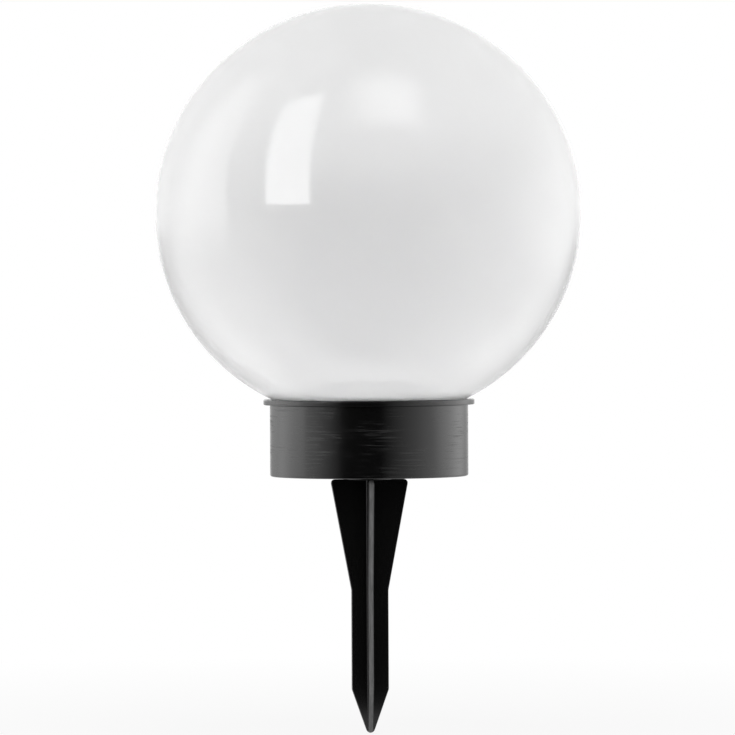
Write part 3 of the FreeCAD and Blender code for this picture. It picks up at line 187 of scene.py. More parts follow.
def grid_surface(points, loop_rows=False):
    """A grid of points, rows by columns; unless it loops, a pole closes its first row and its last."""
    rows, columns = points.shape[:2]
    flat = points.reshape(-1, 3)
    faces = grid_faces(rows, columns, loop_rows)
    tris = NO_TRIS
    if not loop_rows:
        low, high = len(flat), len(flat) + 1
        ring = np.arange(columns)
        tris = np.vstack([fan(low, ring, False), fan(high, ring + (rows - 1) * columns, True)])
        flat = np.vstack([flat, points[0].mean(0), points[-1].mean(0)])
    return flat, faces, tris


def turned(profile, segments=128, loop=False, x=0.0, y=0.0):
    """A profile of (radius, height) carried round an upright axis: x = r cos a, y = r sin a, z = height.

    A looped profile gives a ring. Any other starts and ends on the axis, without its two end points.
    """
    profile = np.asarray(profile, float)
    angle = np.linspace(0, 2 * math.pi, segments, endpoint=False)
    radius, height = profile[:, :1], profile[:, 1:]
    points = [x + radius * np.cos(angle), y + radius * np.sin(angle), height + 0 * angle]
    return grid_surface(np.stack(points, -1), loop)


def edge_rows(low, high, low_round, high_round, steps=4):
    """The side of a plate as (offset, height): up from its lower edge's rounding to its upper edge's."""
    turn = np.linspace(0, math.pi / 2, steps + 1)
    lower = np.stack([low_round * (np.sin(turn) - 1), low + low_round * (1 - np.cos(turn))], -1)
    upper = np.stack([high_round * (np.cos(turn) - 1), high - high_round * (1 - np.sin(turn))], -1)
    lower = lower if low_round > 0 else np.array([[0.0, low]])
    upper = upper if high_round > 0 else np.array([[0.0, high]])
    straight = [[0, low + low_round + SUPPORT], [0, high - high_round - SUPPORT]]
    return np.vstack([[-low_round - SUPPORT, low], lower, straight, upper, [-high_round - SUPPORT, high]])


def filled(loops):
    """Three-cornered faces between the first loop and its holes, by Delaunay's rule, all facing up.

    A face stays if a line from its middle crosses the loops an odd number of times.
    """
    points = np.vstack(loops)
    ends = np.cumsum([len(loop) for loop in loops])
    following = np.arange(1, len(points) + 1)
    following[ends - 1] = ends - [len(loop) for loop in loops]
    edges = np.stack([np.arange(len(points)), following], -1)
    found = delaunay_2d_cdt(points.tolist(), edges.tolist(), [], 0, 1e-6)
    origin = np.array([first[0] for first in found[3]])
    faces = origin[np.array(found[2], int)]
    x, y = points[faces].mean(1).T[:, :, None]
    (x1, y1), (x2, y2) = points.T, points[following].T
    rise = np.where(y2 == y1, 1, y2 - y1)
    crossed = ((y1 > y) != (y2 > y)) & (x < x1 + (y - y1) * (x2 - x1) / rise)
    faces = faces[crossed.sum(1) % 2 == 1]
    a, b, c = (points[faces[:, k]] for k in range(3))
    turned_over = (b[:, 0] - a[:, 0]) * (c[:, 1] - a[:, 1]) < (b[:, 1] - a[:, 1]) * (c[:, 0] - a[:, 0])
    faces[turned_over] = faces[turned_over][:, ::-1]
    return faces


def plate(outlines, low, high, low_round=0.0, high_round=0.0, plain_outside=False):
    """A flat plate: the first outline is its outside, and the others are its holes.

    The side's profile is carried along each outline: a point is the outline's point plus offset times the
    normal. A plain outside keeps its edges square, because it meets another surface there.
    """
    points, quads, count, ends = [], [], 0, []
    for number, outline in enumerate(outlines):
        square = plain_outside and number == 0
        side = edge_rows(low, high, 0.0, 0.0) if square else edge_rows(low, high, low_round, high_round)
        ahead = np.roll(outline, -1, axis=0) - outline
        ahead /= np.maximum(np.linalg.norm(ahead, axis=1, keepdims=True), 1e-9)
        normal = np.stack([ahead[:, 1], -ahead[:, 0]], -1)
        normal = normal + np.roll(normal, 1, axis=0)
        normal /= np.maximum((normal**2).sum(1, keepdims=True) / 2, 1e-6)
        spread = outline[None] + side[:, None, :1] * normal[None]
        height = np.broadcast_to(side[:, None, 1:], (*spread.shape[:2], 1))
        grid = np.concatenate([spread, height], -1)
        points.append(grid.reshape(-1, 3))
        quads.append(grid_faces(*grid.shape[:2]) + count)
        ends.append((count, count + (len(side) - 1) * len(outline), len(outline)))
        count += len(points[-1])
    faces = filled(outlines)
    low_end, high_end = (np.concatenate([np.arange(e[k], e[k] + e[2]) for e in ends]) for k in (0, 1))
    tris = [low_end[faces[:, ::-1]], high_end[faces]]
    return np.vstack(points), np.vstack(quads), np.vstack(tris)


def tipped(surface):
    """A surface turned half round the X axis, so that what pointed down points up."""
    points, quads, tris = surface
    return points * (1, -1, -1), quads, tris


def moved(surface, x=0.0, y=0.0, z=0.0):
    """A surface carried along by the given distances."""
    points, quads, tris = surface
    return points + (x, y, z), quads, tris


def tube(inner, outer, low, high, radii, segments, x=0.0, y=0.0):
    """A turned ring whose section is a rectangle with rounded corners."""
    corners = [(inner, low), (outer, low), (outer, high), (inner, high)]
    return turned(rounded(corners, radii), segments, loop=True, x=x, y=y)


def boss(x, y, radius, bore, low, high, edge):
    """A round post with a hole down its middle."""
    return plate([circle(radius, x, y, 48), circle(bore, x, y, 24, hole=True)], low, high, 0, edge)


def stood_up(surface):
    """A plate stood up, so that what was its Y is the height and its thickness lies along Y."""
    points, quads, tris = surface
    return points[:, [0, 2, 1]] * (1, -1, 1), quads, tris


def spun(x, y, turn):
    """Where a point goes when it is turned about the upright axis."""
    cos, sin = math.cos(turn), math.sin(turn)
    return x * cos - y * sin, x * sin + y * cos


def linked(name, data):
    """A new object of the given mesh, light or camera, in the scene."""
    thing = bpy.data.objects.new(name, data)
    bpy.context.scene.collection.objects.link(thing)
    return thing


def put(name, surfaces, body, finish, replaces=(), worn=None):
    """Make one object of closed surfaces, ride it on its body and give it its finish.

    Edge sheen and wear, where given, is a value from 0 to 1 for every point, which the finish reads by that
    name as a painted highlight, in patches like wear.
    """
    points, faces, count = [], [], 0
    for flat, quads, tris in surfaces:
        points.append(flat * MM)
        faces += (quads + count).tolist() + (tris + count).tolist()
        count += len(flat)
    mesh = bpy.data.meshes.new(name)
    mesh.from_pydata(np.vstack(points).tolist(), [], faces)
    mesh.shade_smooth()
    mesh.materials.append(finish)
    if worn is not None:
        # This attribute carries the painted edge highlight, in patches like wear.
        mesh.attributes.new("worn", "FLOAT", "POINT").data.foreach_set("value", worn.astype(np.float32))
    piece = linked(name, mesh)
    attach(piece, body)
    if replaces:
        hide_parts(*replaces)
    return piece


# Finishes: every one reads Object coordinates, in metres.


class Nodes:
    """The nodes of one material or of the sky."""

    def __init__(self, tree):
        self.tree = tree

    def node(self, kind, **settings):
        node = self.tree.nodes.new(kind)
        for key, value in settings.items():
            setattr(node, key, value)
        return node

    def link(self, source, target):
        self.tree.links.new(source, target)

    def ranged(self, value, low, high, start=0.0, end=1.0):
        """A value that runs from low to high while another runs from start to end."""
        node = self.node("ShaderNodeMapRange")
        for name, number in (("From Min", start), ("From Max", end), ("To Min", low), ("To Max", high)):
            node.inputs[name].default_value = number
        self.link(value, node.inputs["Value"])
        return node.outputs["Result"]

    def math(self, operation, first, second=None):
        node = self.node("ShaderNodeMath", operation=operation)
        for socket, value in zip(node.inputs, (first, second)):
            if isinstance(value, (int, float)):
                socket.default_value = value
            elif value is not None:
                self.link(value, socket)
        return node.outputs[0]

    def seen(self):
        """1 where a thing is seen, be it in a gloss or through clear plastic, and 0 where it gives light."""
        ray = self.node("ShaderNodeLightPath").outputs
        near = self.math("MAXIMUM", ray["Is Camera Ray"], ray["Is Glossy Ray"])
        return self.math("MAXIMUM", near, ray["Is Transmission Ray"])


class Finish(Nodes):
    """One material: a shader, and patterns of noise on stretched Object coordinates that feed it."""

    def __init__(self, name, roughness=0.5, metallic=0.0, ior=1.45, coat=0.0):
        self.material = bpy.data.materials.new(name)
        self.material.use_nodes = True
        super().__init__(self.material.node_tree)
        self.shader = self.tree.nodes["Principled BSDF"]
        self.set("Roughness", roughness)
        self.set("Metallic", metallic)
        self.set("IOR", ior)
        self.set("Coat Weight", coat)
        self.set("Coat Roughness", 0.1)
        self.place = self.node("ShaderNodeTexCoord").outputs["Object"]
        self.height = None

    def set(self, socket, value):
        self.shader.inputs[socket].default_value = value

    def noise(self, scale, stretch=(1, 1, 1), detail=3.0):
        """Noise on stretched coordinates; a larger stretch makes the pattern finer that way."""
        mapping = self.node("ShaderNodeMapping")
        mapping.inputs["Scale"].default_value = stretch
        self.link(self.place, mapping.inputs["Vector"])
        noise = self.node("ShaderNodeTexNoise")
        noise.inputs["Scale"].default_value = scale
        noise.inputs["Detail"].default_value = detail
        self.link(mapping.outputs["Vector"], noise.inputs["Vector"])
        return noise.outputs["Fac"]

    def split(self):
        node = self.node("ShaderNodeSeparateXYZ")
        self.link(self.place, node.inputs[0])
        return node.outputs

    def mixed(self, first, second, share):
        """A mix of two colours, each of which is three numbers or another node's colour."""
        node = self.node("ShaderNodeMix", data_type="RGBA")
        colours = [socket for socket in node.inputs if socket.type == "RGBA"]
        for socket, colour in zip(colours, (first, second)):
            if isinstance(colour, tuple):
                socket.default_value = (*colour, 1)
            else:
                self.link(colour, socket)
        self.link(share, node.inputs["Factor"])
        return next(socket for socket in node.outputs if socket.type == "RGBA")

    def colour(self, first, second, share):
        """The surface's colour: two that a pattern mixes."""
        self.link(self.mixed(first, second, share), self.shader.inputs["Base Color"])

    def roughness(self, share, low, high, start=0.3, end=0.7):
        self.link(self.ranged(share, low, high, start, end), self.shader.inputs["Roughness"])

    def bump(self, height, depth):
        """Relief of the given depth, in metres; each one lies on top of the last."""
        node = self.node("ShaderNodeBump")
        node.inputs["Strength"].default_value = 1.0
        node.inputs["Distance"].default_value = depth
        self.link(height, node.inputs["Height"])
        if self.height:
            self.link(self.height, node.inputs["Normal"])
        self.height = node.outputs["Normal"]
        self.link(self.height, self.shader.inputs["Normal"])


def shade(colour, factor):
    """A colour made lighter or darker."""
    return tuple(min(1.0, c * factor) for c in colour)


def opal(settings):
    """Opal globe plastic: nearly even white, a clean gloss and a trace of moulded waviness."""
    finish = Finish("opal_plastic", roughness=0.1)
    clouds = finish.ranged(finish.noise(14.0, detail=2.0), 0, 1, 0.35, 0.65)
    finish.colour(tuple(settings.colour), shade(settings.colour, 0.975), clouds)
    finish.roughness(finish.noise(55.0), settings.gloss * 0.8, settings.gloss * 1.35)
    finish.bump(finish.noise(38.0, detail=1.0), 0.00002)
    finish.bump(finish.noise(900.0, detail=2.0), 0.0000015)
    finish.set("Subsurface Weight", 1.0)
    finish.set("Subsurface Radius", (1.0, 1.0, 1.0))
    finish.set("Subsurface Scale", settings.glow_depth * MM)
    finish.set("Specular IOR Level", 0.7)
    return finish.material


def turned_black(name, settings):
    """Polished black plastic with patches of short fine streaks that run round the axis."""
    finish = Finish(name, roughness=settings.gloss)
    streaks = finish.ranged(finish.noise(1.0, stretch=(60, 60, 1500), detail=3.0), 0, 1, 0.5, 0.66)
    patches = finish.ranged(finish.noise(45.0, stretch=(1, 1, 1.6), detail=2.0), 0, 1, 0.42, 0.62)
    marks = finish.math("MULTIPLY", streaks, patches)
    finish.colour(tuple(settings.colour), tuple(settings.streak_colour), marks)
    finish.roughness(marks, settings.gloss, settings.gloss * 2.5, 0, 1)
    finish.bump(marks, settings.streak_depth * MM)
    finish.bump(finish.noise(900.0, stretch=(1, 1, 3), detail=2.0), 0.0000012)
    return finish.material


def moulded_black(name, colour, gloss, grain=0.000006):
    """Black moulded plastic: faint flow marks, a fine eroded grain and uneven gloss."""
    finish = Finish(name, roughness=gloss)
    marks = finish.noise(60.0, detail=4.0)
    finish.colour(colour, shade(colour, 1.9), finish.ranged(marks, 0, 1, 0.4, 0.75))
    finish.roughness(marks, gloss * 0.85, gloss * 1.2)
    finish.bump(marks, 0.00003)
    finish.bump(finish.noise(2600.0, detail=3.0), grain)
    return finish.material


def black_with_edge_sheen_and_wear(name, settings):
    """Black plastic with flow marks down the blades, whose edges are painted grey and dull: a painted
    highlight, in patches like wear.
    """
    finish = Finish(name, roughness=settings.gloss)
    flow = finish.noise(60.0, stretch=(1, 1, 0.25), detail=4.0)
    worn = finish.node("ShaderNodeAttribute", attribute_name="worn").outputs["Fac"]
    edge_sheen_patches = finish.ranged(finish.noise(700.0, stretch=(1, 1, 0.15), detail=4.0), 0.6, 1.0, 0.3, 0.7)
    painted_edge_sheen_and_wear = finish.math("MULTIPLY", worn, edge_sheen_patches)
    # Painted highlight: the grey on the edges stands in for light falling on them, in patches like wear.
    finish.colour(tuple(settings.colour), tuple(settings.edge_sheen_and_wear_colour), painted_edge_sheen_and_wear)
    finish.roughness(painted_edge_sheen_and_wear, settings.gloss, 0.55, 0, 1)
    finish.bump(flow, 0.00001)
    finish.bump(finish.noise(2200.0, detail=2.0), 0.000001)
    return finish.material


def rubber(name, colour):
    """Soft black rubber: dull, with a fine powdery bloom."""
    finish = Finish(name, roughness=0.7)
    bloom = finish.noise(240.0, detail=5.0)
    finish.colour(colour, shade(colour, 2.5), finish.ranged(bloom, 0, 1, 0.5, 0.9))
    finish.roughness(bloom, 0.6, 0.85)
    finish.bump(finish.noise(3000.0), 0.000008)
    return finish.material


def metal(name, colour, gloss=0.3, stretch=(1, 1, 1)):
    """Plated or drawn metal: fine lines along its stretch and small changes of tone."""
    finish = Finish(name, roughness=gloss, metallic=1.0)
    lines = finish.noise(1800.0, stretch=stretch, detail=4.0)
    finish.colour(colour, shade(colour, 0.8), finish.ranged(finish.noise(300.0), 0, 1, 0.35, 0.75))
    finish.roughness(lines, gloss * 0.75, gloss * 1.35)
    finish.bump(lines, 0.000003)
    return finish.material


def glossy(name, colour, gloss=0.25, second=0.8):
    """Paint, sleeve or lacquer of a small part, whose marks have a second tone."""
    finish = Finish(name, roughness=gloss)
    marks = finish.noise(400.0, detail=4.0)
    finish.colour(colour, shade(colour, second), finish.ranged(marks, 0, 1, 0.35, 0.7))
    finish.roughness(marks, gloss * 0.8, gloss * 1.3)
    finish.bump(finish.noise(2500.0), 0.000004)
    return finish.material


def clear(name, colour, gloss=0.04):
    """Clear cast resin with a few faint ripples."""
    finish = Finish(name, roughness=gloss, ior=1.5)
    finish.set("Transmission Weight", 1.0)
    haze = finish.noise(120.0, detail=2.0)
    finish.colour(colour, shade(colour, 0.96), haze)
    finish.roughness(finish.noise(300.0), gloss * 0.6, gloss * 1.6)
    finish.bump(haze, 0.00001)
    return finish.material


def silicon(settings):
    """Solar cells: blue-black silicon whose large grains differ in tone, crossed by thin silver fingers."""
    finish = Finish("silicon", roughness=0.22, coat=0.4)
    grains = finish.node("ShaderNodeTexVoronoi")
    grains.inputs["Scale"].default_value = 420.0
    finish.link(finish.place, grains.inputs["Vector"])
    tone = finish.node("ShaderNodeSeparateColor")
    finish.link(grains.outputs["Color"], tone.inputs[0])
    wave = finish.math("PINGPONG", finish.split()[1], settings.finger_pitch * MM / 2)
    finger = finish.math("LESS_THAN", wave, settings.finger_width * MM / 2)
    cell = finish.mixed(shade(settings.cell_colour, 0.55), tuple(settings.cell_colour), tone.outputs[0])
    finish.colour(cell, (0.55, 0.56, 0.57), finger)
    finish.roughness(tone.outputs[0], 0.18, 0.34, 0, 1)
    finish.bump(finger, 0.00001)
    return finish.material


def board(name, colour):
    """Circuit board: green lacquer over a faint weave, with copper tracks that show through."""
    finish = Finish(name, roughness=0.35, coat=0.3)
    x, y = finish.split()[:2]
    along, across = (finish.math("SINE", finish.math("MULTIPLY", value, 9000.0)) for value in (x, y))
    weave = finish.math("MULTIPLY", along, across)
    tracks = finish.math("GREATER_THAN", finish.noise(160.0, stretch=(1, 1, 0), detail=0.0), 0.56)
    finish.colour(colour, shade(colour, 1.7), tracks)
    finish.roughness(weave, 0.3, 0.45, -1, 1)
    finish.bump(tracks, 0.00003)
    finish.bump(weave, 0.000004)
    return finish.material


# The sizes and colours that a user would change.


def size(name, description, default):
    """A size in millimetres."""
    return FloatProperty(name=name, description=description + ", in mm", default=default)


def metres(name, description, default):
    """A length in metres."""
    return FloatProperty(name=name, description=description, default=default, unit="LENGTH")


def angle(name, description, default):
    """An angle, whose default is given in degrees."""
    return FloatProperty(name=name, description=description, default=math.radians(default), subtype="ANGLE")


def level(name, description, default, **more):
    """A plain number."""
    return FloatProperty(name=name, description=description, default=default, **more)


def tint(name, description, default):
    """A colour."""
    return FloatVectorProperty(name=name, description=description, subtype="COLOR", default=default)


class GlobeSettings(bpy.types.PropertyGroup):
    width: size("Width", "Outer diameter of the globe", float(GLOBE_HIGH[0] * 2))
    flattening: size("Flattening", "What the globe lacks in height against its width", 3.4)
    wall: size("Wall", "Wall of the globe", 2.2)
    neck: size("Neck", "Outer diameter of the neck", 84.0)
    shoulder: size("Shoulder", "Flat shoulder round the neck", 3.7)
    shoulder_wall: size("Shoulder wall", "Thickness of the shoulder", 2.4)
    colour: tint("Colour", "Colour of the opal plastic", (0.8, 0.8, 0.802))
    gloss: level("Roughness", "Roughness of the globe", 0.05, min=0, max=1)
    glow_depth: size("Glow depth", "How far light travels in the opal plastic", 6.0)


class BaseSettings(bpy.types.PropertyGroup):
    wall: size("Wall", "Wall at the mouth", 2.2)
    floor: size("Floor", "Thickness of the floor", 2.4)
    ledge_step: size("Ledge", "Ledge that carries the gasket", 0.9)
    ledge_height: size("Ledge height", "Height of the ledge", 27.0)
    edge: size("Lower edge", "Rounding of the lower outer edge", 1.0)
    socket: size("Socket", "Diameter of the stake's socket", 16.5)
    rim_round: size("Rim rounding", "Rounding of the rim's edges", 0.55)
    streak_depth: size("Streak depth", "Depth of the streaks round the base", 0.0012)
    colour: tint("Colour", "Colour of the base", (0.0022, 0.0022, 0.0023))
    streak_colour: tint("Streak colour", "Colour of the streaks", (0.008, 0.008, 0.008))
    gloss: level("Roughness", "Roughness of the base", 0.17, min=0, max=1)


class StakeSettings(bpy.types.PropertyGroup):
    width: size("Width", "Width of the blades at the soil line", 36.8)
    blade: size("Blade", "Thickness of a blade", 2.5)
    shank: size("Shank", "Width of the straight shank", 17.4)
    taper: size("Taper", "Height of the tapering part", 52.0)
    straight: size("Straight", "Height of the straight shank", 46.6)
    tip: size("Tip", "Width of the blunt tip", 2.9)
    corner: size("Corner", "Rounding of the blades' upper corners", 2.2)
    edge: size("Edge", "Rounding along the blades' edges", 0.35)
    root: size("Root", "Rounding where the blades meet", 0.4)
    step: size("Parting step", "Step of the parting line on the edges", 0.14)
    stub: size("Stub", "Diameter of the stub", 16.0)
    colour: tint("Colour", "Colour of the stake", (0.0022, 0.0022, 0.0023))
    # This is the grey of the painted highlight on the blades' edges, in patches like wear.
    edge_sheen_and_wear_colour: tint("Worn colour", "Colour of the worn edges", (0.27, 0.27, 0.27))
    gloss: level("Roughness", "Roughness of the stake", 0.2, min=0, max=1)


class ModuleSettings(bpy.types.PropertyGroup):
    cell_colour: tint("Cell colour", "Colour of the solar cells", (0.012, 0.02, 0.07))
    finger_pitch: size("Finger pitch", "Distance between fingers", 1.6)
    finger_width: size("Finger width", "Width of a finger", 0.12)
    deck_colour: tint("Deck colour", "Colour of the deck", (0.012, 0.012, 0.013))
    lamps: IntProperty(name="Lamps", description="Number of lamps round the panel", default=4, min=1)


class StageSettings(bpy.types.PropertyGroup):
    distance: metres("Camera distance", "From the lamp's axis to the camera", 2.2)
    height: metres("Camera height", "Height of the camera", 0.0745)
    aim: metres("Aim", "Height on the axis that the camera looks at", 0.0524)
    shift: metres("Camera offset", "Camera's place to the right of the axis", -0.0005)
    lens: size("Lens", "Focal length", 229.7)
    roll: angle("Roll", "Turn of the camera about its view", 0.27)
    turn: angle("Turn", "Turn of the camera and lights round the axis", -3.3)
    sky: level("Sky", "Strength of the even light from all round", 0.56)
    left: level("Left softbox", "Brightness of the left softbox, where 1 is white", 3.7)
    right: level("Right softbox", "Brightness of the right softbox", 2.8)
    front: level("Front softbox", "Brightness of the upright softbox in front", 5.4)
    above: level("Upper softbox", "Brightness of the softbox overhead", 4.9)
    inner: level("Inner light", "Power of the soft lamp inside the globe", 0.24, unit="POWER")
    inner_height: metres("Inner light's height", "Height of the soft lamp inside the globe", 0.076)
    dark: level("Dark screen", "Reach of the darkest part to the right, in degrees", 14.0)


# Operators: one for each piece or group of like pieces, and one for the studio.


class GLOBELIGHT_OT_globe(bpy.types.Operator):
    """Make the opal globe: two arcs turned about the axis, a flat shoulder and a straight neck"""

    bl_idname = "globelight.globe"
    bl_label = "Globe"

    def execute(self, context):
        settings = context.scene.globelight_globe
        neck, rim = settings.neck / 2, RIM_HIGH[2]
        shift = settings.flattening / 2 / (math.sqrt(2) - 1)
        side_x = shift / math.sqrt(2)
        side_r = settings.width / 2 - side_x
        foot = neck + settings.shoulder
        centre = rim + math.sqrt(side_r**2 - (foot - side_x) ** 2)

        def wall(thinner, foot_z, points):
            """Side and crown as one row of points, from the foot up to the axis.

            The side turns about (side_x, centre) up to 45 degrees, and the crown about a centre on the axis.
            """
            reach = side_r - thinner
            start = math.asin((foot_z - centre) / reach)
            side = np.linspace(start, math.pi / 4, points)[:-1]
            crown = np.linspace(math.pi / 4, math.pi / 2, points // 2)[:-1]
            top_r = reach + shift
            side = np.stack([side_x + reach * np.cos(side), centre + reach * np.sin(side)], -1)
            crown = np.stack([top_r * np.cos(crown), centre - side_x + top_r * np.sin(crown)], -1)
            return np.vstack([side, crown])

        shelf, end = rim + settings.shoulder_wall, GLOBE_LOW[2]
        bore, bevel = neck - 2.2, 0.8
        outer = wall(0.0, rim + 0.5, 96)
        inner = wall(settings.wall, shelf + 0.6, 72)
        corners = [
            inner[0],
            (inner[0, 0] - 1.0, shelf),
            (bore, shelf),
            (bore, end),
            (neck - bevel, end),
            (neck, end + bevel),
            (neck, rim),
            (foot - 0.15, rim),
            outer[0],
        ]
        radii = [0.01, 0.4, 0.6, 0.35, 0.15, 0.15, 0.12, 0.25, 0.01]
        neck_rows = rounded(corners, radii, steps=5)
        per_corner = len(neck_rows) // len(corners)
        profile = np.vstack([inner[:0:-1], neck_rows[per_corner:-per_corner], outer])
        plastic = opal(settings)
        put("globe_shell", [turned(profile, 256)], "globe", plastic, replaces=["globe_shade"])
        return {"FINISHED"}


class GLOBELIGHT_OT_base(bpy.types.Operator):
    """Make the base: its cup with the floor's openings, the rim and the gasket"""

    bl_idname = "globelight.base"
    bl_label = "Base, rim and gasket"

    def execute(self, context):
        settings = context.scene.globelight_base
        black = turned_black("base_black", settings)
        self.cup(settings, black)
        self.rim(settings, black)
        self.gasket()
        return {"FINISHED"}

    def cup(self, settings, black):
        """The wall is a turned ring, and the floor is three plates with their openings.

        On the floor stand the socket's cap, the battery's chamber, and the screws' bosses with their webs.
        """
        outer, under, top = BASE_HIGH[0], BASE_LOW[2], BASE_HIGH[2]
        mouth = outer - settings.wall
        inside = mouth - settings.ledge_step
        floor = under + settings.floor
        join = inside - 0.2
        seat, shelf = under + HEAD_SEAT, under + 1.8
        corners = [(join, under), (outer, under), (outer, top), (mouth, top)]
        corners += [(mouth, settings.ledge_height), (inside, settings.ledge_height)]
        corners += [(inside, floor), (join, floor)]
        ring = rounded(corners, [0.001, settings.edge, 0.25, 0.25, 0.1, 0.2, 0.001, 0.001], steps=8)
        socket_r = settings.socket / 2
        door = door_outline(0.25)
        recess = rectangle(-11, -29.5, 11, -20.5, 1.0)
        slot = rectangle(-3.8, -27, 3.8, -23, 0.3)
        bay = rectangle(-25.4, 20.8, 25.4, 32.2, 0.4)
        socket = circle(socket_r, points=96, hole=True)
        pilots = [circle(0.85, x, y, 24, hole=True) for x, y in SWITCH_SCREWS]
        ears = [circle(1.15, x, y, 24, hole=True) for x, y in DOOR_SCREWS]
        edge = circle(join, points=192)
        layers = [
            ([edge, socket, door[::-1], recess[::-1]], under, seat, 0.25),
            ([edge, socket, door[::-1], slot[::-1], *pilots], seat, shelf, 0.0),
            ([edge, socket, bay[::-1], slot[::-1], *pilots, *ears], shelf, floor, 0.0),
        ]
        surfaces = [turned(ring, 192, loop=True)]
        surfaces += [plate(outlines, *heights, plain_outside=True) for outlines, *heights in layers]
        roof, ceiling = 26.0, 24.0
        corners = [(socket_r, floor), (socket_r + 2, floor), (socket_r + 2, roof)]
        corners += [(0.5, roof), (0.5, ceiling), (socket_r, ceiling)]
        cap = rounded(corners, [0.001, 0.001, 0.5, 0.001, 0.001, 0.4])
        surfaces.append(turned(cap, 96, loop=True))
        surfaces.append(turned([(0.5, ceiling), (0.5, roof)], 96))
        chamber, lid = rectangle(-26.8, 19.4, 26.8, 33.6, 1.2), 15.4
        surfaces.append(plate([chamber, bay[::-1]], floor, lid))
        surfaces.append(plate([chamber], lid, 16.8, 0.0, 0.4))
        surfaces += [boss(x, y, 3.4, 1.15, floor, 12.9, 0.2) for x, y in DOOR_SCREWS]
        for x, y in DECK_SCREWS:
            surfaces.append(boss(x, y, 3.2, 1.25, floor, DECK_UNDER, 0.15))
            wall = math.copysign(math.sqrt(inside**2 - y**2) + 0.3, x)
            left, right = sorted((x + math.copysign(3.1, x), wall))
            web = rectangle(left, y - 0.7, right, y + 0.7, 0.1)
            surfaces.append(plate([web], floor, roof, 0, 0.1))
        put("base_cup", surfaces, "base", black, replaces=["base_housing"])

    def rim(self, settings, black):
        """The flange has soft edges, and its lip stands inside the cup."""
        outer, top, low = RIM_HIGH[0], RIM_HIGH[2], RIM_LOW[2]
        seat, bore, lip = BASE_HIGH[2], 42.6, 44.2
        ring = rounded(
            [(bore, low), (lip, low), (lip, seat), (outer, seat), (outer, top), (bore, top)],
            [0.2, 0.3, 0.1, settings.rim_round, settings.rim_round, 0.4],
            steps=8,
        )
        flange = [turned(ring, 256, loop=True)]
        put("rim_flange", flange, "base", black, replaces=["rim_ring"])

    def gasket(self):
        """A sleeve whose inside swells into two ridges.

        Radius = wall - (wall - grip) * swell to the power of 2.5, where the swell is a cosine wave between 0
        and 1 that makes two turns over the height.
        """
        low, high = GASKET_LOW[2], GASKET_HIGH[2]
        outer, wall, grip, bevel = GASKET_HIGH[0], GASKET_HIGH[0] - 1.2, 42.08, 0.2
        height = np.linspace(high - bevel, low + bevel, 90)
        swell = np.cos(4 * math.pi * (height - low) / (high - low) + math.pi) * 0.5 + 0.5
        inner = np.stack([wall - (wall - grip) * swell**2.5, height], -1)
        foot = [(wall + bevel, low), (outer - bevel, low), (outer, low + bevel)]
        head = [(outer, high - bevel), (outer - bevel, high), (wall + bevel, high)]
        sleeve = [turned(np.vstack([foot, head, inner]), 160, loop=True)]
        black = rubber("gasket_rubber", (0.012,) * 3)
        put("neck_sleeve", sleeve, "base", black, replaces=["neck_gasket"])


def door_outline(gap):
    """The battery door from below: a rectangle with two rounded ears on its front side."""
    left, right = DOOR_LOW[0] - gap, DOOR_HIGH[0] + gap
    front, back = 19.6 - gap, DOOR_HIGH[1] + gap
    wide, reach = 4 + gap, 12.2 - gap
    corners = [(left, front)]
    radii = [1.6]
    for x, _ in DOOR_SCREWS:
        corners += [(x - wide, front), (x - wide, reach), (x + wide, reach), (x + wide, front)]
        radii += [0.4, wide * 0.98, wide * 0.98, 0.4]
    corners += [(right, front), (right, back), (left, back)]
    radii += [1.6, 1.6, 1.6]
    return rounded(corners, radii, steps=8)


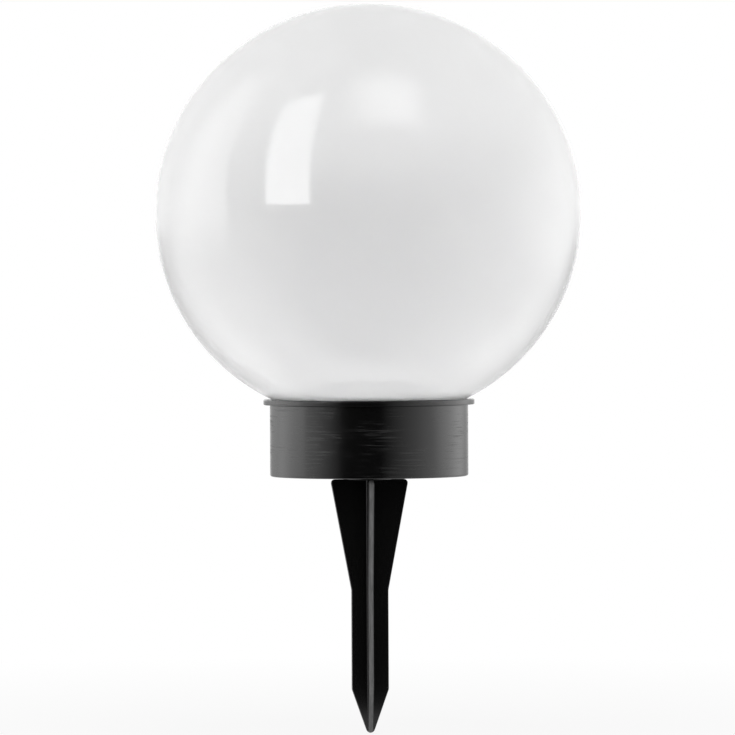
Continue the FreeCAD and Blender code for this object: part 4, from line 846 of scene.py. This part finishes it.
class GLOBELIGHT_OT_stake(bpy.types.Operator):
    """Make the ground stake: crossed blades with rounded edges, a collar and the stub with its grip ribs"""

    bl_idname = "globelight.stake"
    bl_label = "Ground stake"

    def execute(self, context):
        settings = context.scene.globelight_stake
        black = black_with_edge_sheen_and_wear("stake_black", settings)
        blades, worn = self.blades(settings)
        surfaces = [blades, *self.stub(settings)]
        worn = np.concatenate([worn] + [np.zeros(len(surface[0])) for surface in surfaces[1:]])
        put("stake_blades", surfaces, "stake", black, replaces=["ground_stake"], worn=worn)
        return {"FINISHED"}

    def blades(self, settings):
        """A cross carried down the axis, with a painted highlight along its edges, in patches like wear.

        Its half width follows the blades' outline, blended by a parabola at each kink; its corners are arcs,
        and a small step, where the mould parts, runs along the outer edges.
        """
        top, bottom = 0.0, STAKE_LOW[2]
        wide, shank, tip = settings.width / 2, settings.shank / 2, settings.tip / 2
        kink, heel = -settings.taper, -settings.taper - settings.straight
        corner, edge, blunt = settings.corner, settings.edge, 1.5
        height = np.concatenate(
            [
                bottom + blunt * (1 - np.cos(np.linspace(0.12, math.pi / 2, 12))),
                np.linspace(bottom + blunt + 0.2, heel - 0.6, 40),
                np.linspace(heel - 0.4, heel + 0.4, 9),
                np.linspace(heel + 0.6, kink - 0.6, 40),
                np.linspace(kink - 0.4, kink + 0.4, 9),
                np.linspace(kink + 0.6, -corner - 0.05, 50),
                corner * (np.sin(np.linspace(0, math.pi / 2, 16)) - 1),
            ]
        )
        knots, widths = [bottom, heel, kink, top], [tip, shank, shank, wide]
        reach = np.interp(height, knots, widths)
        for knot in (kink, heel):
            share = np.clip((height - knot) + 0.5, 0, 1)
            low, middle, high = np.interp([knot - 0.5, knot, knot + 0.5], knots, widths)
            bend = (1 - share) ** 2 * low + 2 * share * (1 - share) * middle + share**2 * high
            reach = np.where((share > 0) & (share < 1), bend, reach)
        rise = np.clip(height + corner, 0, corner)
        reach = reach - corner + np.sqrt(corner**2 - rise**2)
        rise = np.clip(height + edge, 0, edge)
        half = settings.blade / 2 - edge + np.sqrt(edge**2 - rise**2)
        taper = np.clip((bottom + blunt - height) / blunt, 0, 1)
        shrink = np.sqrt(np.maximum(1 - taper**2, 0.01))
        reach, half = reach * shrink, np.minimum(half * shrink, reach * shrink * 0.86)
        free = np.maximum(reach - half, 0.02)
        outer = np.minimum(edge, np.minimum(free, half) * 0.45)
        inner = np.minimum(settings.root, free * 0.4)
        step = np.minimum(settings.step, free * 0.3)
        arm = [(reach, -half), (reach, half * 0.15), (reach - step, half * 0.15 + step), (reach - step, half)]
        sizes = [outer, step * 0.4, step * 0.4, outer]
        corners, radii, worn = [], [], []
        for turn in range(4):
            cos, sin = [(1, 0), (0, 1), (-1, 0), (0, -1)][turn]
            corners += [np.stack([x * cos - y * sin, x * sin + y * cos], -1) for x, y in arm]
            corners.append(np.stack([half * (cos - sin), half * (sin + cos)], -1))
            radii += [*sizes, inner]
            worn += [1, 1, 1, 1, 0]
        steps = 4
        outline = rounded(np.stack(corners, 1), np.stack(radii, 1), steps)
        level = np.broadcast_to(height[:, None, None], (*outline.shape[:2], 1))
        surface = grid_surface(np.concatenate([outline, level], -1))
        # Only the outer ends of the blades carry the painted edge highlight; the roots between them carry
        # none.
        row = np.repeat(np.array(worn, float), steps + 3)
        sides = np.tile([0] * (steps + 1) + [1] * (2 * steps + 10) + [0] * (2 * steps + 4), 4)
        # Painted light: the edges' painted highlight is made stronger towards the top, against the shade that
        # falls under the base.
        painted_top_light = np.interp(height, [bottom, kink, top], [0.75, 0.8, 1.0])
        worn = np.concatenate([np.outer(painted_top_light, row * sides).ravel(), [1, 0]])
        return surface, worn

    def stub(self, settings):
        """The collar and the hollow stub are turned; the grip ribs are upright bars with rounded ends."""
        radius, collar, top = settings.stub / 2, 12.0, STAKE_HIGH[2]
        foot, step, hollow, bore = -0.05, 1.5, 4.5, radius - 2
        corners = [(0.3, foot), (collar, foot), (collar, step), (radius, step)]
        corners += [(radius, top), (bore, top), (bore, hollow), (0.3, hollow)]
        profile = rounded(corners, [0.001, 0.3, 0.2, 0.3, 0.7, 0.3, 0.8, 0.001])
        profile = profile[profile[:, 0] > 0.32]
        surfaces = [turned(profile, 96)]
        points, quads, tris = plate([rectangle(7.5, -0.6, 8.15, 0.6, 0.25)], 3.5, 19.5, 0.1, 0.1)
        for turn in range(4):
            x, y = spun(points[:, 0], points[:, 1], turn * math.pi / 2)
            surfaces.append((np.stack([x, y, points[:, 2]], -1), quads, tris))
        return surfaces


def screw(head_r, head_h, shank_r, length, pitch=0.9):
    """A pan-head screw that points down from its seat at height 0.

    Shank: radius falls from the crest by a cosine of (height / pitch - angle / full turn). Head: height is a
    flat dome over the radius, less the cross recess, which deepens where a point is near either bar's middle.
    """
    angle = np.linspace(0, 2 * math.pi, 48, endpoint=False)[None, :]
    down = np.linspace(-length, -0.25, max(24, int(length / pitch * 8)))[:, None]
    groove = 0.5 - 0.5 * np.cos(2 * math.pi * (down / pitch) - angle)
    point = np.clip((down + length) / (pitch * 1.4), 0.12, 1)
    edge, shoulder = min(0.25, head_h * 0.3), head_h * 0.82
    turn = np.linspace(0, math.pi / 2, 6)[:, None]
    share = np.linspace(0.98, 0.03, 26)[:, None]
    top = (head_r - edge) * share + 0 * angle
    dome = head_h * (0.82 + 0.18 * (1 - share**2))
    near = np.minimum(np.abs(top * np.cos(angle)), np.abs(top * np.sin(angle)))
    bar = np.clip((0.16 * head_r - near) / (0.05 * head_r), 0, 1) * np.clip((0.66 - share) / 0.06, 0, 1)
    parts = [
        (shank_r * (1 - 0.18 * groove) * point, down),
        (np.array([[shank_r], [head_r - 0.1], [head_r]]), np.array([[0.0], [0.0], [0.08]])),
        (head_r - edge * (1 - np.cos(turn)), shoulder - edge * (1 - np.sin(turn))),
        (top, dome - head_h * 0.55 * bar * (1 - 0.35 * share)),
    ]
    radius, height = (np.vstack([part[k] + 0 * angle for part in parts]) for k in (0, 1))
    return grid_surface(np.stack([radius * np.cos(angle), radius * np.sin(angle), height], -1))


class GLOBELIGHT_OT_fasteners(bpy.types.Operator):
    """Make the screws of the deck, the circuit board, the battery door and the switch"""

    bl_idname = "globelight.fasteners"
    bl_label = "Screws"

    def execute(self, context):
        steel = metal("screw_steel", (0.55, 0.56, 0.57), 0.28)
        under, door, switch = BOARD_LOW[2], DOOR_LOW[2] + HEAD_SEAT, BASE_LOW[2] + HEAD_SEAT
        for name, node, body, spots, seat, sizes in (
            ("deck_screw_set", "deck_screws", "base", DECK_SCREWS, DECK_FACE, (2.7, 1.7, 1.2, 11)),
            ("board_screw_set", "board_screws", "base", BOARD_SCREWS, under, (1.9, 1.3, 0.9, 4.8, 0.7)),
            ("door_screw_set", "door_screws", "battery_door", DOOR_SCREWS, door, (2.2, 1.1, 1.1, 7.5, 0.8)),
            ("switch_screw_set", "switch_screws", "base", SWITCH_SCREWS, switch, (1.5, 0.7, 0.8, 3.4, 0.4)),
        ):
            shape = screw(*sizes)
            if spots is not DECK_SCREWS:
                shape = tipped(shape)
            put(name, [moved(shape, x, y, seat) for x, y in spots], body, steel, replaces=[node])
        return {"FINISHED"}


class GLOBELIGHT_OT_module(bpy.types.Operator):
    """Make the solar module: its deck with the panel's frame, the clear resin and the lamps"""

    bl_idname = "globelight.module"
    bl_label = "Solar module"

    def execute(self, context):
        settings = context.scene.globelight_module
        angles = [k * 2 * math.pi / settings.lamps for k in range(settings.lamps)]
        lamps = [(LAMP_CIRCLE * math.cos(a), LAMP_CIRCLE * math.sin(a)) for a in angles]
        self.deck(settings, lamps)
        self.panel()
        self.lamps(lamps)
        return {"FINISHED"}

    def deck(self, settings, lamps):
        """Two plates with their holes, the panel's frame, and the turned edge, lamp collars and posts."""
        radius, under, face = DECK_HIGH[0], DECK_UNDER, DECK_FACE
        shelf, bore = under + 1.6, 2.65
        holes = [circle(bore, x, y, 48, hole=True) for x, y in lamps]
        holes += [circle(1.6, x, y, 32, hole=True) for x, y in DECK_SCREWS]
        edge, wires = circle(radius, points=192), circle(4, points=48, hole=True)
        seat = rectangle(-23.3, -23.3, 23.3, 23.3, 0.3)
        surfaces = [
            plate([edge, *holes, seat[::-1]], shelf, face, 0.0, 0.12),
            plate([edge, *holes, wires], under, shelf, 0.3, 0.0),
        ]
        low, frame = face - 0.4, rectangle(-24.6, -24.6, 24.6, 24.6, 1.4)
        surfaces.append(tube(radius - 1.4, radius, low, face + 1.2, [0.05, 0.05, 0.45, 0.45], 192))
        surfaces.append(plate([frame, seat[::-1]], low, face + 1.9, 0.0, 0.4))
        rounds = [0.05, 0.05, 0.35, 0.25]
        surfaces += [tube(bore, bore + 1, face - 0.3, face + 0.8, rounds, 64, x, y) for x, y in lamps]
        surfaces += [tube(0.95, 2.5, BOARD_HIGH[2], under + 0.3, 0.08, 48, x, y) for x, y in BOARD_SCREWS]
        black = moulded_black("deck_black", tuple(settings.deck_colour), 0.5, grain=0.000014)
        put("deck_plate", surfaces, "base", black, replaces=["module_deck"])

    def panel(self):
        """The resin over the cells is a plate with rounded edges."""
        low, high, half = PANEL_LOW[2], PANEL_HIGH[2], PANEL_HIGH[0]
        surface = plate([rectangle(-half, -half, half, half, 0.8)], low, high, 0.05, 0.45)
        resin = clear("panel_resin_clear", (0.96, 0.97, 0.96))
        put("resin_cover", [surface], "base", resin, replaces=["panel_resin"])

    def lamps(self, spots):
        """A lens is a turned flange, barrel and dome. In it, a cup on one of two posts holds the chip."""
        low, high = LAMPS_LOW[2], LAMPS_HIGH[2]
        radius, brim = 2.5, 2.9
        straight = high - radius
        dome = np.linspace(0, math.pi / 2, 20)[:-1]
        corners = [(0.4, low), (brim, low), (brim, low + 1), (radius, low + 1)]
        corners += [(radius, straight), (0.4, straight)]
        flange = rounded(corners, [0.001, 0.15, 0.15, 0.1, 0.001, 0.001])
        flange = flange[(flange[:, 0] > 0.45) & (flange[:, 1] < straight - 0.1)]
        dome = np.stack([radius * np.cos(dome), straight + radius * np.sin(dome)], -1)
        profile = np.vstack([flange, dome])
        lenses = [turned(profile, 48, x=x, y=y) for x, y in spots]
        lens = clear("lamp_lens_clear", (0.97, 0.98, 0.96), 0.03)
        put("lamp_lens_set", lenses, "base", lens, replaces=["lamp_lenses"])
        cores, chips = [], []
        cup = [(0.2, 2.6), (0.9, 3.4), (0.95, 4.2), (0.8, 4.2), (0.45, 3.6), (0.2, 3.6)]
        cup = rounded([(x, low + z) for x, z in cup], 0.03)
        post, chip = rectangle(-0.3, -0.25, 0.3, 0.25, 0.05), rectangle(-0.2, -0.2, 0.2, 0.2, 0.03)
        for x, y in spots:
            along = math.atan2(x, -y)
            dx, dy = 1.27 * math.cos(along), 1.27 * math.sin(along)
            cores.append(turned(cup, 32, loop=True, x=x + dx * 0.15, y=y + dy * 0.15))
            for side, top in ((0.6, low + 2.9), (-0.6, low + 3.7)):
                upright = plate([post], low + 0.3, top, 0.05, 0.05)
                cores.append(moved(upright, x + dx * side, y + dy * side))
            chips.append(moved(plate([chip], low + 3.6, low + 3.75, 0.01, 0.02), x, y))
        silver = metal("lamp_core_silver", (0.8, 0.8, 0.79), 0.22)
        put("lamp_core_set", cores, "base", silver)
        put("lamp_chip_set", chips, "base", glossy("lamp_chip", (0.75, 0.62, 0.12)))


class GLOBELIGHT_OT_underside(bpy.types.Operator):
    """Make the battery door, its seal and the switch's knob"""

    bl_idname = "globelight.underside"
    bl_label = "Battery door and switch knob"

    def execute(self, context):
        base = context.scene.globelight_base
        black = moulded_black("door_black", tuple(base.colour), 0.4)
        low, high = DOOR_LOW[2], DOOR_HIGH[2]
        outline = door_outline(0.0)
        heads = [circle(2.45, x, y, 48, hole=True) for x, y in DOOR_SCREWS]
        holes = [circle(1.3, x, y, 32, hole=True) for x, y in DOOR_SCREWS]
        seat = low + HEAD_SEAT
        surfaces = [
            plate([outline, *heads], low, seat, 0.3, 0.0),
            plate([outline, *holes], seat, high - 0.01, 0.0, 0.1),
        ]
        put("door_plate", surfaces, "battery_door", black, replaces=["battery_door"])
        left, front, right, back = SEAL_LOW[0], SEAL_LOW[1], SEAL_HIGH[0], SEAL_HIGH[1]
        inside = rectangle(left + 0.8, front + 0.8, right - 0.8, back - 0.8, 0.4, hole=True)
        ring = [rectangle(left, front, right, back, 1.0), inside]
        seal = [plate(ring, SEAL_LOW[2], high + 0.02, 0.1, 0.15)]
        black_rubber = rubber("seal_rubber", (0.014,) * 3)
        put("door_seal_ring", seal, "battery_door", black_rubber, replaces=["door_seal"])
        self.knob(black)
        return {"FINISHED"}

    def knob(self, black):
        """The knob's side view, with its grip grooves, carried along Y; its foot is a plate."""
        centre, low, high = -1.5, KNOB_LOW[2], KNOB_HIGH[2]
        half, foot = 2.0, high - 1.0
        corners, radii = [(centre - half, foot + 0.2), (centre - half, low)], [0.05, 0.35]
        for k in (-1, 0, 1):
            x = centre + k
            corners += [(x - 0.25, low), (x - 0.15, low + 0.4), (x + 0.15, low + 0.4), (x + 0.25, low)]
            radii += [0.06, 0.05, 0.05, 0.06]
        corners += [(centre + half, low), (centre + half, foot + 0.2)]
        radii += [0.35, 0.05]
        side = rounded(corners, radii, steps=4)
        stem = stood_up(plate([side], 23.3, 26.7, 0.25, 0.25))
        base = plate([rectangle(centre - 3, -27.2, centre + 3, -22.8, 0.3)], foot, high, 0.1, 0.1)
        put("knob_slider", [stem, base], "switch_knob", black, replaces=["switch_knob"])


class GLOBELIGHT_OT_inner_finishes(bpy.types.Operator):
    """Give every piece that keeps its CAD shape its finish"""

    bl_idname = "globelight.inner_finishes"
    bl_label = "Finishes of the inner parts"

    def execute(self, context):
        module = context.scene.globelight_module
        tin = metal("tinned_copper", (0.74, 0.74, 0.72), 0.3)
        spring = metal("spring_steel", (0.62, 0.62, 0.63), 0.2)
        plated = metal("plated_steel", (0.6, 0.6, 0.6), 0.32, stretch=(0.1, 1, 1))
        finishes = {
            "panel_tape": rubber("foam_tape", (0.55, 0.55, 0.52)),
            "panel_board": glossy("panel_backing", (0.02, 0.045, 0.03), 0.5),
            "solar_cells": silicon(module),
            "cell_ribbons": tin,
            "lamp_leads": tin,
            "circuit_board": board("circuit_board_green", (0.012, 0.1, 0.03)),
            "driver_chip": moulded_black("chip_black", (0.02, 0.02, 0.02), 0.55),
            "power_coil": glossy("coil_ferrite", (0.05, 0.048, 0.045), 0.6),
            "capacitor": glossy("capacitor_sleeve", (0.02, 0.025, 0.07), 0.3),
            "resistors": glossy("resistor_paint", (0.45, 0.33, 0.18), 0.35, second=0.5),
            "battery_can": plated,
            "battery_sleeve": glossy("battery_sleeve", (0.02, 0.16, 0.06), 0.22),
            "spring_plate": plated,
            "button_plate": plated,
            "contact_spring": spring,
            "switch_plate": plated,
            "switch_can": plated,
            "switch_terminals": tin,
            "red_leads": glossy("lead_red", (0.4, 0.015, 0.012), 0.35),
            "black_leads": glossy("lead_black", (0.01, 0.01, 0.01), 0.35, second=2.0),
        }
        for node, finish in finishes.items():
            mesh = frame["nodes"][node].data
            mesh.materials.clear()
            mesh.materials.append(finish)
        return {"FINISHED"}


# The softboxes' left and right edges, in metres, from their foot to their head.
LEFT_ROWS = [
    [(-0.31, -0.085, -0.116), (-0.5, 0.4, -0.116)],
    [(-1.24, -0.3, 0.12), (-1.1, 0.85, 0.12)],
    [(-1.05, 0.2, 1.88), (-0.85, 0.6, 1.85)],
]
RIGHT_ROWS = [
    [(0.5, 0.05, -0.116), (0.45, 0.6, -0.116)],
    [(1.27, -0.5, 0.12), (0.86, 1.15, 0.12)],
    [(1.2, 0.0, 0.8), (0.8, 1.1, 0.7)],
]
FRONT_ROWS = [
    [(-1.122, -0.815, 0.187), (-0.649, -1.233, 0.192)],
    [(-0.595, -0.243, 0.988), (-0.288, -0.387, 1.09)],
]
UPPER_ROWS = [
    [(-0.3, -0.97, 0.92), (0.7, -0.77, 0.89)],
    [(-0.25, -0.2, 1.27), (0.52, -0.05, 1.2)],
]


# The light from around: its brightness at the wall's foot and higher up, by the angle from the camera's side,
# in degrees, and the height of its middle, in metres.
WALL_ANGLES = [60, 70, 90, 115, 139, 153, 165]
WALL_FOOT = [1.4, 1.7, 2.0, 2.1, 1.0, 0.55, 0.75]
WALL_LIGHT = [1.4, 1.7, 2.0, 2.1, 1.7, 1.25, 1.2]
STUDIO_MIDDLE = 0.12


def eased(share):
    """A smooth step: it leaves 0 and reaches 1 without a kink."""
    share = np.clip(share, 0, 1)
    return share * share * (3 - 2 * share)


def around(points):
    """Brightness of the light from around: by angle on the wall, and the roof's by a smooth step of height.

    The back of the wall is darker near the floor. The roof is brighter to both sides and darker at the back.
    """
    x, y, z = np.moveaxis(points, -1, 0)
    angle = np.degrees(np.arctan2(np.abs(x), -y))
    foot, wall = (np.interp(angle, WALL_ANGLES, light) for light in (WALL_FOOT, WALL_LIGHT))
    foot_end, foot_depth, roof_angle = -0.05, 0.17, math.radians(55)
    wall = foot + (wall - foot) * np.clip((z - foot_end) / foot_depth, 0, 1)
    rise = eased(np.arctan2(z - STUDIO_MIDDLE, np.hypot(x, y)) / roof_angle)
    reach = np.sqrt(x * x + y * y + (z - STUDIO_MIDDLE) ** 2)
    roof = 2.6 + 0.8 * np.abs(x) / reach - 1.8 * np.maximum(y, 0) / reach
    return wall + (roof - wall) * rise


class GLOBELIGHT_OT_stage(bpy.types.Operator):
    """Set up the studio: floor, dark screen, light dome, softboxes, the globe's inner lamp, sky and camera"""

    bl_idname = "globelight.stage"
    bl_label = "Studio"

    def execute(self, context):
        settings = context.scene.globelight_stage
        self.floor()
        self.screen(settings)
        self.dome(settings.turn)
        for name, strength, foot, soft, rows in (
            ("left_softbox", settings.left, 0.4, (0.04, 0.6, 0.15, 0.25), LEFT_ROWS),
            ("right_softbox", settings.right, 1.0, (0.25, 0.6, 0.3, 0.4), RIGHT_ROWS),
            ("front_softbox", settings.front, 1.0, (0.03, 0.12, 0.03, 0.05), FRONT_ROWS),
            ("upper_softbox", settings.above, 1.0, (0.4, 0.4, 0.3, 0.4), UPPER_ROWS),
        ):
            self.softbox(name, rows, strength, foot, soft, settings.turn)
        self.glow(settings)
        self.sky(settings.sky)
        self.camera(settings)
        context.scene.view_settings.view_transform = "Standard"
        return {"FINISHED"}

    def sheet(self, name, points, glow, turn):
        """A sheet that shines with the given brightness at each point; only glossy surfaces see it."""
        rows, columns = points.shape[:2]
        x, y, z = np.moveaxis(points, -1, 0)
        placed = np.stack([*spun(x, y, turn), z], -1).reshape(-1, 3)
        row, column = np.meshgrid(np.arange(rows - 1), np.arange(columns - 1), indexing="ij")
        first = (row * columns + column).ravel()
        faces = np.stack([first, first + 1, first + columns + 1, first + columns], -1)
        mesh = bpy.data.meshes.new(name)
        mesh.from_pydata(placed.tolist(), [], faces.tolist())
        values = glow.ravel().astype(np.float32)
        mesh.attributes.new("glow", "FLOAT", "POINT").data.foreach_set("value", values)
        material = bpy.data.materials.new(name)
        material.use_nodes = True
        nodes = Nodes(material.node_tree)
        nodes.tree.nodes.remove(nodes.tree.nodes["Principled BSDF"])
        light = nodes.node("ShaderNodeEmission")
        level = nodes.node("ShaderNodeAttribute", attribute_name="glow")
        nodes.link(level.outputs["Fac"], light.inputs["Strength"])
        nodes.link(light.outputs[0], nodes.tree.nodes["Material Output"].inputs["Surface"])
        mesh.materials.append(material)
        sheet = linked(name, mesh)
        sheet.visible_camera = False
        sheet.visible_shadow = False
        sheet.visible_diffuse = False
        sheet.visible_transmission = False

    def softbox(self, name, rows, strength, foot, soft, turn):
        """A sheet between a left and a right edge, which are rows of points from its foot to its head.

        Brightness = around + (strength - around) * mask, where the mask is a smooth step inward from each
        side, over the share of the sheet that the side is soft for. From the middle down, the strength falls
        to its foot's share.
        """
        v, u = np.meshgrid(np.linspace(0, 1, 25), np.linspace(0, 1, 17), indexing="ij")
        level = np.linspace(0, 1, len(rows))
        left, right = (
            np.stack([np.interp(v, level, side[:, k]) for k in range(3)], -1)
            for side in np.moveaxis(np.array(rows, float), 1, 0)
        )
        points = left + (right - left) * u[..., None]
        mask = np.ones_like(u)
        for distance, width in zip((u, 1 - u, v, 1 - v), soft):
            mask = mask * eased(distance / width)
        level = around(points)
        shine = strength * np.interp(v, [0, 0.5], [foot, 1])
        self.sheet(name, points, level + (shine - level) * mask, turn)

    def dome(self, turn):
        """A dome round the studio and the floor inside it, as bright as the light from around.

        The floor's share of that light grows from none at its inner edge, where it is white.
        """
        azimuth, rise = np.meshgrid(np.linspace(-180, 180, 73), np.linspace(-5.8, 89, 40))
        azimuth, rise = np.radians(azimuth), np.radians(rise)
        points = [np.sin(azimuth) * np.cos(rise), -np.cos(azimuth) * np.cos(rise), np.sin(rise)]
        reach, radii = 2.3, [0.12, 0.2, 0.6, 2.28]
        points = np.stack(points, -1) * reach + (0, 0, STUDIO_MIDDLE)
        self.sheet("light_dome", points, around(points), turn)
        azimuth, radius = np.meshgrid(np.radians(np.linspace(-180, 180, 73)), radii)
        low = STAKE_LOW[2] * MM + 0.002
        points = np.stack([radius * np.sin(azimuth), -radius * np.cos(azimuth), low + 0 * radius], -1)
        share = np.clip((radius - radii[0]) / (radii[1] - radii[0]), 0, 1)
        self.sheet("light_floor", points, 1 + (around(points) - 1) * share, turn)

    def screen(self, settings):
        """The dark room behind the camera and the dark floor in front of it.

        A profile along the floor and up the wall is carried round an arc; its brightness rises from black
        with the angle from the middle, more slowly on the left, at the top, and close to the stake.
        """
        low = STAKE_LOW[2] * MM + 0.004
        profile = [(0.03, low), (0.05, low), (0.07, low), (0.09, low), (0.4, low), (0.9, low)]
        profile += [(1.88, low), (1.9, low + 0.02), (1.9, 0.15), (1.9, 0.6), (1.9, 1.1)]
        more_left, end = 16, 62
        angle = np.radians(np.linspace(-64, 64, 65))[None, :]
        radius, height = np.array(profile).T[:, :, None]
        points = np.stack([radius * np.sin(angle), -radius * np.cos(angle), height + 0 * angle], -1)
        dark = np.where(angle < 0, settings.dark + more_left, settings.dark)
        side = np.clip((np.abs(np.degrees(angle)) - dark) / (end - dark), 0, 1)
        crest = np.clip(np.maximum((height - 0.15) / 0.95, (0.09 - radius) / 0.06), 0, 1)
        self.sheet("dark_screen", points, (1 - (1 - side) * (1 - crest)) * around(points), settings.turn)

    def floor(self):
        """The floor is lit, and mixed with plain white where it is seen, the more so the farther off."""
        finish = Finish("studio_floor", roughness=0.9)
        finish.set("Specular IOR Level", 0.0)
        finish.set("Base Color", (0.9, 0.9, 0.9, 1))
        x, y = finish.split()[:2]
        square = finish.math("ADD", finish.math("MULTIPLY", x, x), finish.math("MULTIPLY", y, y))
        reach = finish.math("SQRT", square)
        share = finish.math("MULTIPLY", finish.seen(), finish.ranged(reach, 0.88, 1.0, 0.08, 0.5))
        white = finish.node("ShaderNodeEmission")
        white.inputs["Strength"].default_value = 1.0
        mix = finish.node("ShaderNodeMixShader")
        finish.link(share, mix.inputs[0])
        finish.link(finish.shader.outputs[0], mix.inputs[1])
        finish.link(white.outputs[0], mix.inputs[2])
        finish.link(mix.outputs[0], finish.tree.nodes["Material Output"].inputs["Surface"])
        low, half = STAKE_LOW[2] * MM, 8
        corners = [(-half, -half, low), (half, -half, low), (half, half, low), (-half, half, low)]
        mesh = bpy.data.meshes.new("floor")
        mesh.from_pydata(corners, [], [(0, 1, 2, 3)])
        mesh.materials.append(finish.material)
        floor = linked("floor", mesh)

    def glow(self, settings):
        """A soft lamp inside the globe, for the daylight that passes through the opal wall from all round."""
        data = bpy.data.lights.new("inner_light", "POINT")
        data.energy = settings.inner
        data.shadow_soft_size = 0.03
        lamp = linked("inner_light", data)
        lamp.location = (0, 0, settings.inner_height)
        lamp.visible_camera = False
        lamp.visible_glossy = False
        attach(lamp, "globe")

    def sky(self, strength):
        """White where it is seen, and an even light of the given strength for everything else."""
        world = bpy.data.worlds.new("studio_sky")
        bpy.context.scene.world = world
        world.use_nodes = True
        nodes = Nodes(world.node_tree)
        background = nodes.tree.nodes["Background"]
        background.inputs["Color"].default_value = (1, 1, 1, 1)
        nodes.link(nodes.ranged(nodes.seen(), strength, 1.0), background.inputs["Strength"])

    def camera(self, settings):
        """The camera looks at the aim on the lamp's axis, from the side that the turn gives."""
        data = bpy.data.cameras.new("camera")
        data.lens = settings.lens
        camera = linked("camera", data)
        camera.location = (*spun(settings.shift, -settings.distance, settings.turn), settings.height)
        tilt = math.atan2(settings.height - settings.aim, settings.distance)
        camera.rotation_euler = (math.pi / 2 - tilt, settings.roll, settings.turn)
        bpy.context.scene.camera = camera


class GLOBELIGHT_PT_panel(bpy.types.Panel):
    """Lists the light's pieces and their settings"""

    bl_idname = "GLOBELIGHT_PT_panel"
    bl_label = "Garden Globe Light"
    bl_space_type = "VIEW_3D"
    bl_region_type = "UI"
    bl_category = "Globe Light"

    def draw(self, context):
        for group, operators in LAYOUT:
            column = self.layout.column(align=True)
            settings = getattr(context.scene, group)
            for name in settings.__annotations__:
                column.prop(settings, name)
            for operator in operators:
                column.operator(operator.bl_idname)


SETTINGS = {
    "globelight_globe": GlobeSettings,
    "globelight_base": BaseSettings,
    "globelight_stake": StakeSettings,
    "globelight_module": ModuleSettings,
    "globelight_stage": StageSettings,
}
LAYOUT = [
    ("globelight_globe", [GLOBELIGHT_OT_globe]),
    ("globelight_base", [GLOBELIGHT_OT_base, GLOBELIGHT_OT_underside, GLOBELIGHT_OT_fasteners]),
    ("globelight_stake", [GLOBELIGHT_OT_stake]),
    ("globelight_module", [GLOBELIGHT_OT_module, GLOBELIGHT_OT_inner_finishes]),
    ("globelight_stage", [GLOBELIGHT_OT_stage]),
]
OPERATORS = [operator for group, operators in LAYOUT for operator in operators]
CLASSES = [*SETTINGS.values(), *OPERATORS, GLOBELIGHT_PT_panel]


def register():
    for item in CLASSES:
        bpy.utils.register_class(item)
    for name, group in SETTINGS.items():
        setattr(bpy.types.Scene, name, PointerProperty(type=group))


def unregister():
    for name in SETTINGS:
        delattr(bpy.types.Scene, name)
    for item in reversed(CLASSES):
        bpy.utils.unregister_class(item)


def main():
    register()
    bpy.ops.globelight.globe()
    bpy.ops.globelight.base()
    bpy.ops.globelight.underside()
    bpy.ops.globelight.fasteners()
    bpy.ops.globelight.stake()
    bpy.ops.globelight.module()
    bpy.ops.globelight.inner_finishes()
    bpy.ops.globelight.stage()


if __name__ == "__main__":
    main()
